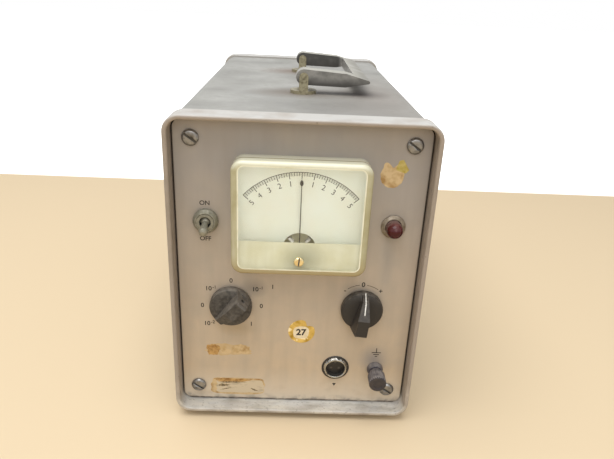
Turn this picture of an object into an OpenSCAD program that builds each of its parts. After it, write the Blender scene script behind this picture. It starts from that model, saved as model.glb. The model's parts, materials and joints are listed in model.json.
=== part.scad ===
// Null detector: a bench instrument with a centre-zero meter in a metal case.
// X runs across the front panel, Y from the front to the back and Z up.
// The origin lies on the table, under the middle of the instrument's overall box.

/* [Case] */
// Width over the end frames
case_w = 177.8; // [172:0.1:210]
// Height over the end frames
case_h = 228.6; // [222:0.1:260]
// Depth over the end frames
case_d = 355.6; // [320:0.1:420]
// Outer corner radius of the end frames
corner_r = 11.5; // [8:0.5:14]
// Depth of each end frame, front to back
frame_d = 20; // [18:0.5:26]
// Thickness of the lip round each panel
lip_t = 3.2; // [2:0.1:4.5]
// Width of the ledge that each panel seats on
ledge_w = 8; // [6:0.5:10]
// Length of the spigot that the cover slides over
spigot_l = 7; // [4:0.5:12]
// How far the end frames stand proud of the cover
cover_inset = 2; // [1:0.1:3]
// Sheet thickness of the cover and the bottom plate
cover_t = 1.2; // [0.8:0.1:2]
// Bottom plate's long edges, distance in from the case's sides
bottom_in = 18.9; // [15:0.1:28]
// Diameter of the tie rods between the end frames
rod_d = 8; // [7:0.5:10]
// Depth of the tapped holes in the rods' ends
tap_l = 10; // [6:0.5:16]

/* [Feet] */
// Height of the rubber feet
foot_h = 5; // [3:0.5:12]
// Diameter of the rubber feet
foot_d = 16; // [12:0.5:22]
// Foot centres, distance in from the case's sides
foot_side = 28.9; // [28:0.1:48]
// Foot centres, distance in from the end frames' outer faces
foot_in = 42; // [36:1:90]

/* [Panels] */
// Depth of the panels behind the end frames' edges
panel_recess = 12; // [8:0.5:12.5]
// Thickness of both panels
panel_t = 3; // [2:0.1:4]
// Gap between a panel and its frame
panel_gap = 1; // [0.2:0.1:1]
// Panel screws, distance in from the case's sides
screw_side = 15.9; // [14:0.1:18.5]
// Panel screws, distance in from the case's top and bottom
screw_end = 16.8; // [14.5:0.1:22]
// Diameter of the panel screws' threads
screw_d = 4; // [3:0.1:5]
// Diameter of the panel screws' heads
screw_head_d = 11.2; // [8:0.1:13]
// Height of the panel screws' heads
screw_head_h = 2.4; // [1.5:0.1:4]

/* [Handle] */
// Distance between the handle's two posts
post_span = 123; // [100:1:150]
// Handle's middle, measured forward of the case's middle
handle_fwd = 5.4; // [0:0.1:30]
// Height of the pivot above the cover
pivot_h = 13; // [10:0.5:20]
// Length of the bail's arms, pivot to rounded end
arm_l = 52; // [45:1:60]
// Width of the bail's arms
arm_w = 14; // [10:0.5:18]
// Thickness of the arms at the pivot
arm_t = 12; // [10:0.5:14]
// Thickness of the arms where they start to taper towards the grip's edge
grip_t = 10.5; // [6:0.5:11]
// Width of the grip bar
grip_w = 13; // [9:0.5:16]
// Thickness of the grip's outer edge
nose_t = 2.6; // [2:0.2:6]
// Downward slope of the folded bail, in degrees
bail_tilt = 2.5; // [0:0.5:6]
// Diameter of the posts' round flanges
flange_d = 20.6; // [20:0.2:28]
// Thickness of the posts' round flanges
flange_t = 2.5; // [1.5:0.1:3]
// Width of the posts across the case
fork_w = 7; // [6:0.5:10]
// Thickness of each cheek of a post
cheek_t = 2.4; // [1.5:0.1:3]
// Diameter of the pivot pins
pin_d = 4; // [3:0.1:4.5]

/* [Meter] */
// Meter's middle, distance below the case's top
meter_down = 66.6; // [62:0.1:72]
// Width of the meter's clear front
meter_w = 92; // [90:0.5:98]
// Height of the meter's clear front
meter_h = 80; // [78:0.5:84]
// How far the meter stands out of the panel
meter_proud = 16; // [15:0.1:19]
// Corner radius of the meter's front
meter_r = 8; // [6:0.5:12]
// Wall of the clear front
meter_wall = 2.6; // [2:0.1:3.5]
// Needle pivot, distance below the meter's middle
pivot_drop = 21; // [18:0.5:24]
// Length of the needle, pivot to tip
needle_l = 48; // [40:0.5:50]
// Diameter of the meter's barrel behind the panel
barrel_d = 52; // [50:0.5:53]
// Length of the meter's barrel behind the panel's front
barrel_l = 40; // [40:0.5:55]
// Diameter of the zero screw's head
zero_head_d = 6.7; // [5:0.1:9]
// Zero screw, distance below the needle pivot
zero_drop = 8; // [8:0.1:9]
// Throw of the zero screw's eccentric pin
zero_throw = 1.2; // [0.8:0.1:1.4]

/* [Switch and lamp] */
// Toggle and lamp, distance in from the case's sides
side_in = 24.6; // [23:0.1:29]
// Toggle and lamp, distance below the meter's middle
side_drop = 7.5; // [0:0.1:17]
// Diameter of the toggle's round nut
dress_d = 17.4; // [15:0.1:20]
// Height of the toggle's round nut
dress_h = 5; // [4:0.1:6]
// Length of the toggle lever, pivot to tip
lever_l = 15; // [12:0.5:19]
// Diameter of the toggle lever's tip
lever_tip_d = 6.2; // [5:0.1:7]
// Tilt of the toggle lever from straight out, in degrees
lever_tilt = 15; // [8:0.5:16]
// Diameter of the lamp's metal bezel
bezel_d = 17; // [16:0.1:21]
// Diameter of the lamp's lens
lens_d = 11.2; // [10:0.1:12]
// How far the lens stands out of the panel
lens_proud = 13; // [11:0.1:16]

/* [Knobs] */
// Knob shafts, distance in from the case's sides
knob_in = 41.3; // [37:0.1:45]
// Knob shafts, distance below the case's middle
knob_drop = 25.3; // [22:0.1:34]
// Diameter of the knobs' skirts
skirt_d = 30.5; // [28:0.1:34]
// Height of the knobs' crests above the panel
knob_h = 19.4; // [18:0.1:24]
// Width of the knobs' bars at the root
bar_root_w = 13.5; // [11:0.1:15]
// Width of the knobs' bars at the crest
bar_crest_w = 8.3; // [5:0.1:9]
// Width of the knobs' bars over the skirt's edge, at the pointer
bar_tip_w = 3.4; // [2.5:0.1:9]
// Height of the knobs' pointers above the panel
bar_tip_h = 13; // [10:0.1:16]
// Diameter of the knob shafts
shaft_d = 6.35; // [5:0.01:7]
// Diameter of the shaft bushings' threads
bushing_d = 9.5; // [8.5:0.1:11]
// Turn of the range knob from straight up, anticlockwise, in degrees
range_rest = 135; // [0:15:180]
// Turn of the zero knob on its shaft from straight up, anticlockwise, in degrees
zero_rest = -6; // [-20:1:20]

/* [Terminals] */
// Input connector, distance in from the case's right side
input_in = 57.2; // [56:0.1:65]
// Binding post, distance in from the case's right side
post_in = 26.7; // [25:0.1:28]
// Connector and post, height above the case's bottom
terminal_up = 35.8; // [34:0.1:40]
// Diameter of the input connector's collar
collar_d = 21; // [20:0.1:24]
// Diameter of the input connector's bore
input_bore_d = 14.4; // [12:0.1:16]
// Depth of the input connector's straight bore
input_bore_l = 4; // [4:0.5:9]
// How far the binding post stands out of the panel
post_proud = 20; // [20:0.1:26]
// Diameter of the binding post's cap
cap_d = 12.9; // [11:0.1:14]
// Diameter of the binding post's stud
stud_d = 4; // [3:0.1:5]

/* [Rear and inside] */
// Rear fittings, distance in from the case's sides
rear_in = 43.9; // [34:0.1:64]
// Rear fittings, height above the case's bottom
rear_up = 39.3; // [34:0.1:74]
// Bore of the line gland
gland_bore_d = 7.2; // [5:0.1:9]
// Chassis plate, height above the lower tie rods
chassis_up = 28; // [20:1:40]
// Sheet thickness of the chassis
chassis_t = 1.5; // [1:0.1:3]

/* [Hidden] */
$fn = 64;

// Fits, all radial or face to face
fit_press = 0.02;   // a pin or screw that is held
fit_run = 0.04;     // a shaft that turns
fit_clear = 0.15;   // a bushing through sheet metal
fit_loose = 0.3;    // parts that stay apart
eps = 0.01;         // overlap of cutting tools
cut = 60;           // reach of tools that cut right through

// Overall frame: the binding post is the foremost piece, the rear frame the last
front_proud = post_proud - panel_recess;
y0 = (front_proud - case_d) / 2;
y1 = y0 + case_d;
mid_z = foot_h + case_h / 2;
face_y = y0 + panel_recess;
rear_y = y1 - panel_recess;
top_z = foot_h + case_h - cover_inset;
base_z = foot_h + cover_inset;

// Places on the panels, from the middle of the case
screw_x = case_w / 2 - screw_side;
screw_z = case_h / 2 - screw_end;
foot_x = case_w / 2 - foot_side;
meter_z = case_h / 2 - meter_down;
side_x = case_w / 2 - side_in;
side_z = meter_z - side_drop;
knob_x = case_w / 2 - knob_in;
input_x = case_w / 2 - input_in;
post_x = case_w / 2 - post_in;
terminal_drop = case_h / 2 - terminal_up;
rear_x = case_w / 2 - rear_in;
rear_drop = case_h / 2 - rear_up;

// End frames, panels, cover and tie rods
bottom_w = case_w - 2 * bottom_in;
lip_w = case_w - 2 * lip_t;
lip_h = case_h - 2 * lip_t;
lip_r = corner_r - lip_t;
cover_w = case_w - 2 * cover_inset;
cover_h = case_h - 2 * cover_inset;
cover_r = corner_r - cover_inset / 2;
spigot_in = 2 * (cover_t + fit_clear);
boss_r = rod_d / 2 + 5;
shoulder = frame_d + spigot_l;
screw_l = shoulder - panel_recess + tap_l - 2;
rod_z = [-screw_z, screw_z];
rod_low = mid_z - screw_z;

// Handle
bail_y = (y0 + y1) / 2 - handle_fwd;
pivot_z = top_z + pivot_h;
fork_gap = arm_w + 2 * fit_loose;
fork_y = fork_gap + 2 * cheek_t;
strap_t = 2;
strap_w = 24;
stud_r = 3;
stud_l = cover_t + strap_t + 6;

// Meter: z counts out of the panel, from its front face
barrel_over = 9;
barrel_up = barrel_over - pivot_drop;
dial_z = 5;
dial_t = 0.8;
needle_z = 7;
base_t = 3;
pad_h = dial_z - dial_t - base_t;
barrel_wall = 2;
magnet_r = barrel_d / 2 - barrel_wall - barrel_over - 0.5;
gap_r = magnet_r - 4.9;
core_r = gap_r - 2.8;
magnet_z = [-24, -8];
window_r = 11.5;
window_drop = 2.7;
staff_r = 0.6;
bridge_t = 1.5;
bridge_z = -3;
leg_r = 2;
bush_r = 2;
fork_z = -1.2;
fork_t = 0.8;
meter_stud = [36, 30];
meter_stud_r = 1.9;

// Fasteners that recur, as across-corner radii and heights
nut_big_r = 8.1;
nut_big_h = 2.2;
nut_small_r = 4.2;
nut_small_h = 2.4;
handle_nut = [5.8, 4];
lamp_nut = [9, 3];
input_nut = [12.4, 3];
stud_nut = [4.6, 3];
post_washer = [7, 1.6];
panel_slot_w = 1.3;
front_slot_turn = -35;
rear_slot_turn = 20;
zero_slot_turn = 85;

// Toggle, lamp, knobs, connector and post
toggle_bush_r = 5.95;
toggle_bore_r = 3.75;
toggle_chamfer = 0.5;
ball_r = toggle_bore_r - 0.2;
lever_up = 1;
lever_pin_r = 0.9;
lever_pin_l = 2 * (toggle_bore_r + 0.9);
toggle_body = [14, 28, 18];
lug = [5, 1, 6];
lug_y = [-9, 0, 9];
barrel_lamp_r = lens_d / 2 + 0.3;
skirt_up = 1;
bushing_up = 5;
nut_room_r = nut_big_r + 0.9;
nut_room_h = bushing_up + 0.6;
shaft_up = knob_h - 3;
set_z = 12;
set_r = 1.6;
set_l = 7;
wafer_r = 20;
wafer_t = 1.6;
wafer_z = [-20, -34];
wafer_bore_r = 8;
spacer_x = 16;
spacer_r = 1.6;
spacer_tail = 5;
detent = [40, 24, 6];
pot_r = 14.3;
pot_l = 14;
input_wall = 1.1;
input_r = input_bore_d / 2 + input_wall;
insert_l = 8;
cap_seat = 5.2;
cap_bore_r = stud_d / 2 + 1.05;
insert_z = [9, 16];

// Rear fittings, and the chassis between the range switch and the fuse
fuse_r = 6.2;
fuse_l = 30;
gland_neck_r = gland_bore_d / 2 + 3;
range_back = wafer_z[1] - spacer_tail;
chassis_front_gap = 15;
chassis_rear_gap = 8;
chassis_y = [face_y - range_back + chassis_front_gap, rear_y - panel_t - fuse_l - chassis_rear_gap];
chassis_z = rod_low + chassis_up;
chassis_w = 2 * (screw_x + rod_d / 2);

// Shapes that recur

module rounded(w, h, r) {
    square([w - 2 * r, h], center = true);
    square([w, h - 2 * r], center = true);
    for (x = [-1, 1], y = [-1, 1]) translate([x * (w / 2 - r), y * (h / 2 - r)]) circle(r);
}

// A flat shape on the case's middle, from y towards the back
module slab(y, t) {
    translate([0, y + t, mid_z]) rotate([90, 0, 0]) linear_extrude(t) children();
}

// Places a piece on the front panel: z points out of the panel, y up
module on_front(p) {
    translate([p[0], face_y, mid_z + p[1]]) rotate([90, 0, 0]) children();
}

// Places a piece on the rear panel: z points out of the panel, y down
module on_rear(p) {
    translate([p[0], rear_y, mid_z + p[1]]) rotate([-90, 0, 0]) children();
}

module on_meter() {
    on_front([0, meter_z]) children();
}

module on_pivot() {
    on_front([0, meter_z - pivot_drop]) children();
}

module at_corners(x, y) {
    for (i = [-1, 1], j = [-1, 1]) translate([i * x, j * y]) children();
}

module post(r, z_from, z_to) {
    translate([0, 0, z_from]) cylinder(r = r, h = z_to - z_from);
}

module tube(r_out, r_in, z_from, z_to) {
    difference() {
        post(r_out, z_from, z_to);
        post(r_in, z_from - 1, z_to + 1);
    }
}

module hex_nut(corner_radius, hole_r, h) {
    difference() {
        cylinder(r = corner_radius, h = h, $fn = 6);
        post(hole_r, -1, h + 1);
    }
}

module slotted_head(r, h, slot_w, slot_turn) {
    difference() {
        rotate_extrude() polygon([[0, 0], [r, 0], [r, h * 0.45], [r * 0.8, h * 0.9], [r * 0.5, h],
            [0, h]]);
        rotate([0, 0, slot_turn]) translate([-r - 1, -slot_w / 2, h * 0.45])
            cube([2 * r + 2, slot_w, h]);
    }
}

// Case

// One end frame, from its outer face inwards along y
module end_frame() {
    difference() {
        union() {
            slab(0, frame_d) rounded(case_w, case_h, corner_r);
            slab(frame_d - eps, spigot_l + eps)
                rounded(cover_w - spigot_in, cover_h - spigot_in, cover_r - spigot_in / 2);
        }
        slab(-1, panel_recess + panel_t + 1) rounded(lip_w, lip_h, lip_r);
        slab(panel_recess, shoulder) difference() {
            rounded(lip_w - 2 * ledge_w, lip_h - 2 * ledge_w, 6);
            at_corners(screw_x, screw_z) circle(boss_r);
        }
        slab(panel_recess, shoulder) at_corners(screw_x, screw_z) circle(screw_d / 2 + fit_clear);
    }
}

module front_frame() {
    color("#B5ADA3") translate([0, y0, 0]) end_frame();
}

module rear_frame() {
    color("#B5ADA3") translate([0, y1, 0]) mirror([0, 1, 0]) end_frame();
}

module cover() {
    color("#B8B8B3") difference() {
        slab(y0 + frame_d, case_d - 2 * frame_d) difference() {
            rounded(cover_w, cover_h, cover_r);
            rounded(cover_w - 2 * cover_t, cover_h - 2 * cover_t, cover_r - cover_t);
            translate([-bottom_w / 2 - fit_clear, -cover_h / 2 - 1])
                square([bottom_w + 2 * fit_clear, cover_t + 2]);
        }
        at_posts() post(stud_r + fit_clear, -cover_t - 1, 1);
    }
}

module bottom_plate() {
    color("#A9A9A4") difference() {
        slab(y0 + frame_d, case_d - 2 * frame_d)
            translate([-bottom_w / 2, -cover_h / 2]) square([bottom_w, cover_t]);
        at_feet() post(foot_screw_r + fit_press, -1, cover_t + 1);
    }
}

module panel_blank() {
    difference() {
        rounded(lip_w - 2 * panel_gap, lip_h - 2 * panel_gap, lip_r - panel_gap);
        at_corners(screw_x, screw_z) circle(screw_d / 2 + fit_clear);
    }
}

module front_panel() {
    color("#A39485") slab(face_y, panel_t) difference() {
        panel_blank();
        translate([0, meter_z]) {
            translate([0, barrel_up]) circle(barrel_d / 2 + fit_loose);
            at_corners(meter_stud[0], meter_stud[1]) circle(meter_stud_r + fit_clear);
        }
        translate([-side_x, side_z]) circle(toggle_bush_r + fit_clear);
        translate([side_x, side_z]) circle(barrel_lamp_r + fit_clear);
        for (s = [-1, 1]) translate([s * knob_x, -knob_drop]) circle(bushing_d / 2 + fit_clear);
        translate([input_x, -terminal_drop]) circle(input_r + fit_clear);
        translate([post_x, -terminal_drop]) circle(post_neck_r + fit_clear);
    }
}

module rear_panel() {
    color("#A9A398") slab(rear_y - panel_t, panel_t) difference() {
        panel_blank();
        translate([-rear_x, -rear_drop]) circle(fuse_r + fit_clear);
        translate([rear_x, -rear_drop]) circle(gland_neck_r + fit_clear);
    }
}

module tie_rods() {
    color("silver") for (x = [-screw_x, screw_x], z = rod_z) difference() {
        translate([x, y1 - shoulder, mid_z + z]) rotate([90, 0, 0])
            post(rod_d / 2, 0, case_d - 2 * shoulder);
        for (y = [y0 + shoulder + tap_l, y1 - shoulder + 1])
            translate([x, y, mid_z + z]) rotate([90, 0, 0]) post(screw_d / 2 + fit_press, 0, tap_l + 1);
    }
}

// A flat deck with a turned-down flange at each end, threaded on the lower tie rods
module chassis() {
    flange_low = rod_low - rod_d / 2 - 2;
    color("#C4C4C0") difference() {
        union() {
            translate([-chassis_w / 2, chassis_y[0], chassis_z])
                cube([chassis_w, chassis_y[1] - chassis_y[0], chassis_t]);
            for (y = [chassis_y[0], chassis_y[1] - chassis_t])
                translate([-chassis_w / 2, y, flange_low])
                    cube([chassis_w, chassis_t, chassis_z - flange_low + eps]);
        }
        for (x = [-screw_x, screw_x])
            translate([x, chassis_y[1] + 1, rod_low]) rotate([90, 0, 0])
                post(rod_d / 2 + fit_clear, 0, chassis_y[1] - chassis_y[0] + 2);
    }
}

// Feet

module at_feet() {
    for (x = [-foot_x, foot_x], y = [y0 + foot_in, y1 - foot_in])
        translate([x, y, base_z]) children();
}

foot_stand = foot_h + cover_inset;
foot_recess = 2.6;
foot_taper = 1.5;
foot_well_r = 4;
foot_screw_r = 2;
foot_head = [3.6, 1.8, 0.9];

module feet() {
    color("#2B2A28") at_feet() difference() {
        rotate_extrude() polygon([[0, -foot_stand], [foot_d / 2 - foot_taper, -foot_stand],
            [foot_d / 2, 0], [0, 0]]);
        post(foot_well_r, -foot_stand - 1, -foot_stand + foot_recess);
        post(foot_screw_r + fit_press, -foot_stand, 1);
    }
}

module foot_screws() {
    color("silver") at_feet() {
        post(foot_screw_r, -foot_stand + foot_recess - eps, cover_t + nut_small_h + 0.1);
        translate([0, 0, -foot_stand + foot_recess]) mirror([0, 0, 1])
            slotted_head(foot_head[0], foot_head[1], foot_head[2], 0);
        translate([0, 0, cover_t]) hex_nut(nut_small_r, foot_screw_r - eps, nut_small_h);
    }
}

module panel_screw(slot_turn) {
    slotted_head(screw_head_d / 2, screw_head_h, panel_slot_w, slot_turn);
    post(screw_d / 2, -screw_l, eps);
}

module panel_screws() {
    color("#C9C2B4") {
        for (x = [-screw_x, screw_x], z = rod_z) {
            on_front([x, z]) panel_screw(front_slot_turn);
            on_rear([x, z]) panel_screw(rear_slot_turn);
        }
    }
}

// Handle

module at_posts() {
    for (s = [-1, 1]) translate([0, bail_y + s * post_span / 2, top_z]) children();
}

// The bail in side view, x along the arm from the pivot: three rounds joined by tangents
module bail_side() {
    pivot_r = arm_t / 2;
    taper_r = grip_t / 2;
    taper = arm_l - 1.5 * grip_w;
    nose_r = nose_t / 2;
    nose = arm_l - nose_r;
    arm_lean = asin((pivot_r - taper_r) / taper);
    grip_lean = asin((taper_r - nose_r) / (nose - taper));
    function arc(x, r, from, to, steps) = [for (i = [0:steps]) let (a = from + (to - from) * i / steps)
        [x + r * cos(a), r * sin(a)]];
    polygon(concat(
        arc(nose, nose_r, grip_lean - 90, 90 - grip_lean, 12),
        arc(taper, taper_r, 90 - grip_lean, 90 - arm_lean, 4),
        arc(0, pivot_r, 90 - arm_lean, 270 + arm_lean, 16),
        arc(taper, taper_r, 270 + arm_lean, 270 + grip_lean, 4)));
}

module handle_bail() {
    bail_w = post_span + arm_w;
    color("#6C6B66") translate([0, bail_y, pivot_z]) rotate([0, bail_tilt, 0]) difference() {
        translate([0, bail_w / 2, 0]) rotate([90, 0, 0]) linear_extrude(bail_w) bail_side();
        translate([-arm_t, -post_span / 2 + arm_w / 2, -arm_t])
            cube([arm_t + arm_l - grip_w, post_span - arm_w, 2 * arm_t]);
        rotate([90, 0, 0]) cylinder(r = pin_d / 2 + fit_run, h = bail_w + 2, center = true);
    }
}

// A forked post: round flange, two cheeks with rounded tops and a threaded stud below
module handle_posts() {
    slot_low = pivot_h - arm_t / 2 - 0.5;
    color("#8A8570") at_posts() difference() {
        union() {
            post(flange_d / 2, 0, flange_t);
            post(stud_r, -stud_l, eps);
            translate([-fork_w / 2, -fork_y / 2, 0]) cube([fork_w, fork_y, pivot_h]);
            translate([0, fork_y / 2, pivot_h]) rotate([90, 0, 0]) cylinder(r = fork_w / 2, h = fork_y);
        }
        translate([-fork_w, -fork_gap / 2, slot_low]) cube([2 * fork_w, fork_gap, cut]);
        translate([0, 0, pivot_h]) rotate([90, 0, 0])
            cylinder(r = pin_d / 2 + fit_press, h = fork_y + 2, center = true);
    }
}

module handle_pins() {
    color("silver") at_posts() translate([0, 0, pivot_h]) rotate([90, 0, 0])
        cylinder(r = pin_d / 2, h = fork_y, center = true);
}

module handle_strap() {
    strap_l = post_span + strap_w;
    color("silver") difference() {
        translate([-strap_w / 2, bail_y - strap_l / 2, top_z - cover_t - strap_t])
            cube([strap_w, strap_l, strap_t]);
        at_posts() post(stud_r + fit_clear, -cut, 0);
    }
}

// Meter

module meter_case() {
    base_w = meter_w - 2 * (meter_wall + fit_loose);
    base_h = meter_h - 2 * (meter_wall + fit_loose);
    barrel_in = barrel_d / 2 - barrel_wall;
    floor_z = -barrel_l + barrel_wall;
    color("#262422") on_meter() {
        difference() {
            union() {
                linear_extrude(base_t) rounded(base_w, base_h, meter_r - meter_wall);
                translate([0, barrel_up, 0]) post(barrel_d / 2, -barrel_l, eps);
            }
            translate([0, barrel_up, 0]) post(barrel_in, floor_z, base_t + 1);
        }
        translate([0, -pivot_drop, 0]) tube(magnet_r - 1, gap_r + 1, floor_z - eps, magnet_z[0]);
        at_corners(meter_stud[0], meter_stud[1]) {
            post(meter_stud_r, -12, eps);
            post(3, base_t - eps, base_t + pad_h);
        }
    }
}

module meter_cover() {
    inner_w = meter_w - 2 * meter_wall;
    inner_h = meter_h - 2 * meter_wall;
    color("#D9D3A0", 0.5) on_meter() difference() {
        linear_extrude(meter_proud) rounded(meter_w, meter_h, meter_r);
        translate([0, 0, -1])
            linear_extrude(meter_proud - meter_wall + 1) rounded(inner_w, inner_h, meter_r - meter_wall);
        translate([0, -pivot_drop - zero_drop, 0]) post(zero_shank_r + fit_run, 0, meter_proud + 1);
    }
}

module dial_plate() {
    dial_gap = 2 * (meter_wall + 0.6);
    color("#E6E7CC") on_meter() translate([0, 0, dial_z - dial_t]) linear_extrude(dial_t) difference() {
        rounded(meter_w - dial_gap, meter_h - dial_gap, meter_r - meter_wall);
        translate([0, -pivot_drop - window_drop]) circle(window_r);
    }
}

module meter_magnet() {
    color("#5A5854") on_pivot() tube(magnet_r, gap_r, magnet_z[0], magnet_z[1]);
}

// Soft iron core, held in the ring by a lug above and one below
module meter_core() {
    lug_w = 4;
    color("#8C8983") on_pivot() difference() {
        union() {
            post(core_r, magnet_z[0], magnet_z[1]);
            translate([-lug_w / 2, -gap_r + 0.35, magnet_z[0] + 2])
                cube([lug_w, 2 * gap_r - 0.7, magnet_z[1] - magnet_z[0] - 4]);
        }
        post(1.6, magnet_z[0] - 1, magnet_z[1] + 1);
    }
}

module meter_bridge() {
    bridge_x = (magnet_r + gap_r) / 2;
    color("#B9A46A") on_pivot() difference() {
        union() {
            translate([-bridge_x - 3, -4, bridge_z]) cube([2 * bridge_x + 6, 8, bridge_t]);
            for (x = [-bridge_x, bridge_x]) translate([x, 0, 0]) post(leg_r, magnet_z[1], bridge_z + eps);
        }
        post(bush_r + fit_press, bridge_z - 1, bridge_z + bridge_t + 1);
    }
}

// Rectangular coil that turns in the gap round the core
module moving_coil() {
    coil_r = gap_r - 0.7;
    coil_t = 1.2;
    coil_w = 3;
    ends = [magnet_z[0] - 1 - coil_t, magnet_z[1] + 1];
    color("#B5652A") on_pivot() difference() {
        union() {
            for (x = [-coil_r, coil_r - coil_t]) translate([x, -coil_w / 2, ends[0]])
                cube([coil_t, coil_w, ends[1] + coil_t - ends[0]]);
            for (z = ends) translate([-coil_r, -coil_w / 2, z]) cube([2 * coil_r, coil_w, coil_t]);
        }
        post(staff_r + fit_press, ends[0] - 1, ends[1] + coil_t + 1);
    }
}

module needle() {
    needle_t = 0.4;
    root = 0.35;
    neck = 0.25;
    hub_r = 1.6;
    tail_l = 5;
    spade_l = 5;
    color("#1D1C1A") on_pivot() difference() {
        union() {
            post(hub_r, needle_z - 1.2, needle_z + needle_t);
            translate([0, 0, needle_z]) linear_extrude(needle_t) polygon([
                [-root, 0], [-neck, needle_l - spade_l], [-1.1, needle_l - spade_l * 0.6], [0, needle_l],
                [1.1, needle_l - spade_l * 0.6], [neck, needle_l - spade_l], [root, 0]]);
            translate([-0.5, -tail_l, needle_z]) cube([1, tail_l, needle_t]);
            translate([0, -tail_l + 1.2, 0]) post(1.2, needle_z - 0.8, needle_z + 2);
        }
        post(staff_r + fit_press, 0, needle_z + 1);
    }
}

staff_z = [-34, needle_z + 0.4];
jewel_r = 3;
jewel_cup = 3;
jewel_under = 0.2;
bush_under = 0.5;

module coil_staff() {
    color("silver") on_pivot() post(staff_r, staff_z[0], staff_z[1]);
}

module jewel_bearings() {
    seat_z = -barrel_l + barrel_wall;
    color("#9C2F38") on_pivot() {
        difference() {
            post(jewel_r, seat_z, staff_z[0] + jewel_cup);
            post(staff_r + fit_run, staff_z[0] - jewel_under, staff_z[0] + jewel_cup + 1);
        }
        tube(bush_r, staff_r + fit_run, bridge_z - bush_under, fork_z + fork_t);
    }
}

// Flat spiral of bronze strip between the bridge's leg and the staff
module hairspring() {
    turns = 4;
    r_in = staff_r + 0.5;
    strip_t = 0.25;
    r_out = (magnet_r + gap_r) / 2 - leg_r - strip_t;
    strip_w = 0.6;
    steps = 24 * turns;
    function ring(i, off) = let (a = 360 * turns * i / steps, r = r_in + (r_out - r_in) * i / steps + off)
        [r * cos(a), r * sin(a)];
    spiral = concat([for (i = [0:steps]) ring(i, strip_t)], [for (i = [steps:-1:0]) ring(i, 0)]);
    color("#B08B4A") on_pivot() translate([0, 0, bridge_z - 1.6]) linear_extrude(strip_w) polygon(spiral);
}

zero_shank_r = 2;
zero_pin_r = 0.6;
zero_head_h = 1.6;
zero_slot_w = 0.9;

// Brass screw in the clear front, with an eccentric pin that reaches the lever's fork
module zero_screw() {
    inner = meter_proud - meter_wall;
    color("#E8C88A") on_front([0, meter_z - pivot_drop - zero_drop]) {
        translate([0, 0, meter_proud + 0.05])
            slotted_head(zero_head_d / 2, zero_head_h, zero_slot_w, zero_slot_turn);
        post(zero_shank_r, inner - 0.05, meter_proud + 0.1);
        post(zero_shank_r + 1, inner - 1.05, inner - 0.05);
        translate([0, -zero_throw, 0]) post(zero_pin_r, fork_z, inner - 1);
    }
}

module zero_lever() {
    reach = zero_drop + zero_throw;
    slot_w = 2 * (zero_pin_r + 0.15);
    color("#B9A46A") on_pivot() translate([0, 0, fork_z]) difference() {
        union() {
            post(bush_r + 1.6, 0, fork_t);
            translate([-2.5, -reach - 1.5, 0]) cube([5, reach + 1.5, fork_t]);
        }
        post(bush_r + fit_run, -1, fork_t + 1);
        translate([-slot_w / 2, -reach - 2, -1])
            cube([slot_w, 2 + 2 * zero_throw + zero_pin_r, fork_t + 2]);
    }
}

// Toggle switch

module on_toggle() {
    on_front([-side_x, side_z]) children();
}

module toggle_body() {
    color("#3A3734") on_toggle() difference() {
        union() {
            post(toggle_bush_r, -panel_t - eps, dress_h);
            translate([-toggle_body[0] / 2, -toggle_body[1] / 2, -panel_t - toggle_body[2]])
                cube(toggle_body);
            for (y = lug_y) translate([-lug[0] / 2, y - lug[1] / 2, -panel_t - toggle_body[2] - lug[2]])
                cube(lug + [0, 0, eps]);
        }
        post(toggle_bore_r, -panel_t - 7, dress_h + 1);
        translate([0, 0, lever_up]) rotate([0, 90, 0])
            cylinder(r = lever_pin_r + fit_run, h = lever_pin_l + 2 * fit_loose, center = true);
        translate([0, 0, dress_h - toggle_chamfer])
            cylinder(r1 = toggle_bore_r, r2 = toggle_bore_r + toggle_chamfer, h = toggle_chamfer + eps);
    }
}

module toggle_nut() {
    r = dress_d / 2;
    hole = toggle_bush_r + fit_press;
    color("#8D8A7C") on_toggle() rotate_extrude()
        polygon([[hole, 0], [r, 0], [r, dress_h * 0.5], [r - 1.6, dress_h * 0.9], [hole + 0.6, dress_h],
            [hole, dress_h - 0.4]]);
}

// Bat lever on a cross pin through its ball, pointing down at rest
module toggle_lever() {
    tip_r = lever_tip_d / 2;
    color("#A9A69B") on_toggle() translate([0, 0, lever_up]) rotate([lever_tilt, 0, 0]) {
        sphere(ball_r);
        rotate([0, 90, 0]) cylinder(r = lever_pin_r, h = lever_pin_l, center = true);
        post(1.2, -5, 0);
        rotate_extrude() polygon([[0, 0], [2, 0], [2, 4], [tip_r - 0.5, lever_l - 5], [tip_r, lever_l - 2.6],
            [tip_r * 0.86, lever_l - 1], [tip_r * 0.5, lever_l - 0.2], [0, lever_l]]);
    }
}

// Knobs and what they turn

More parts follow.
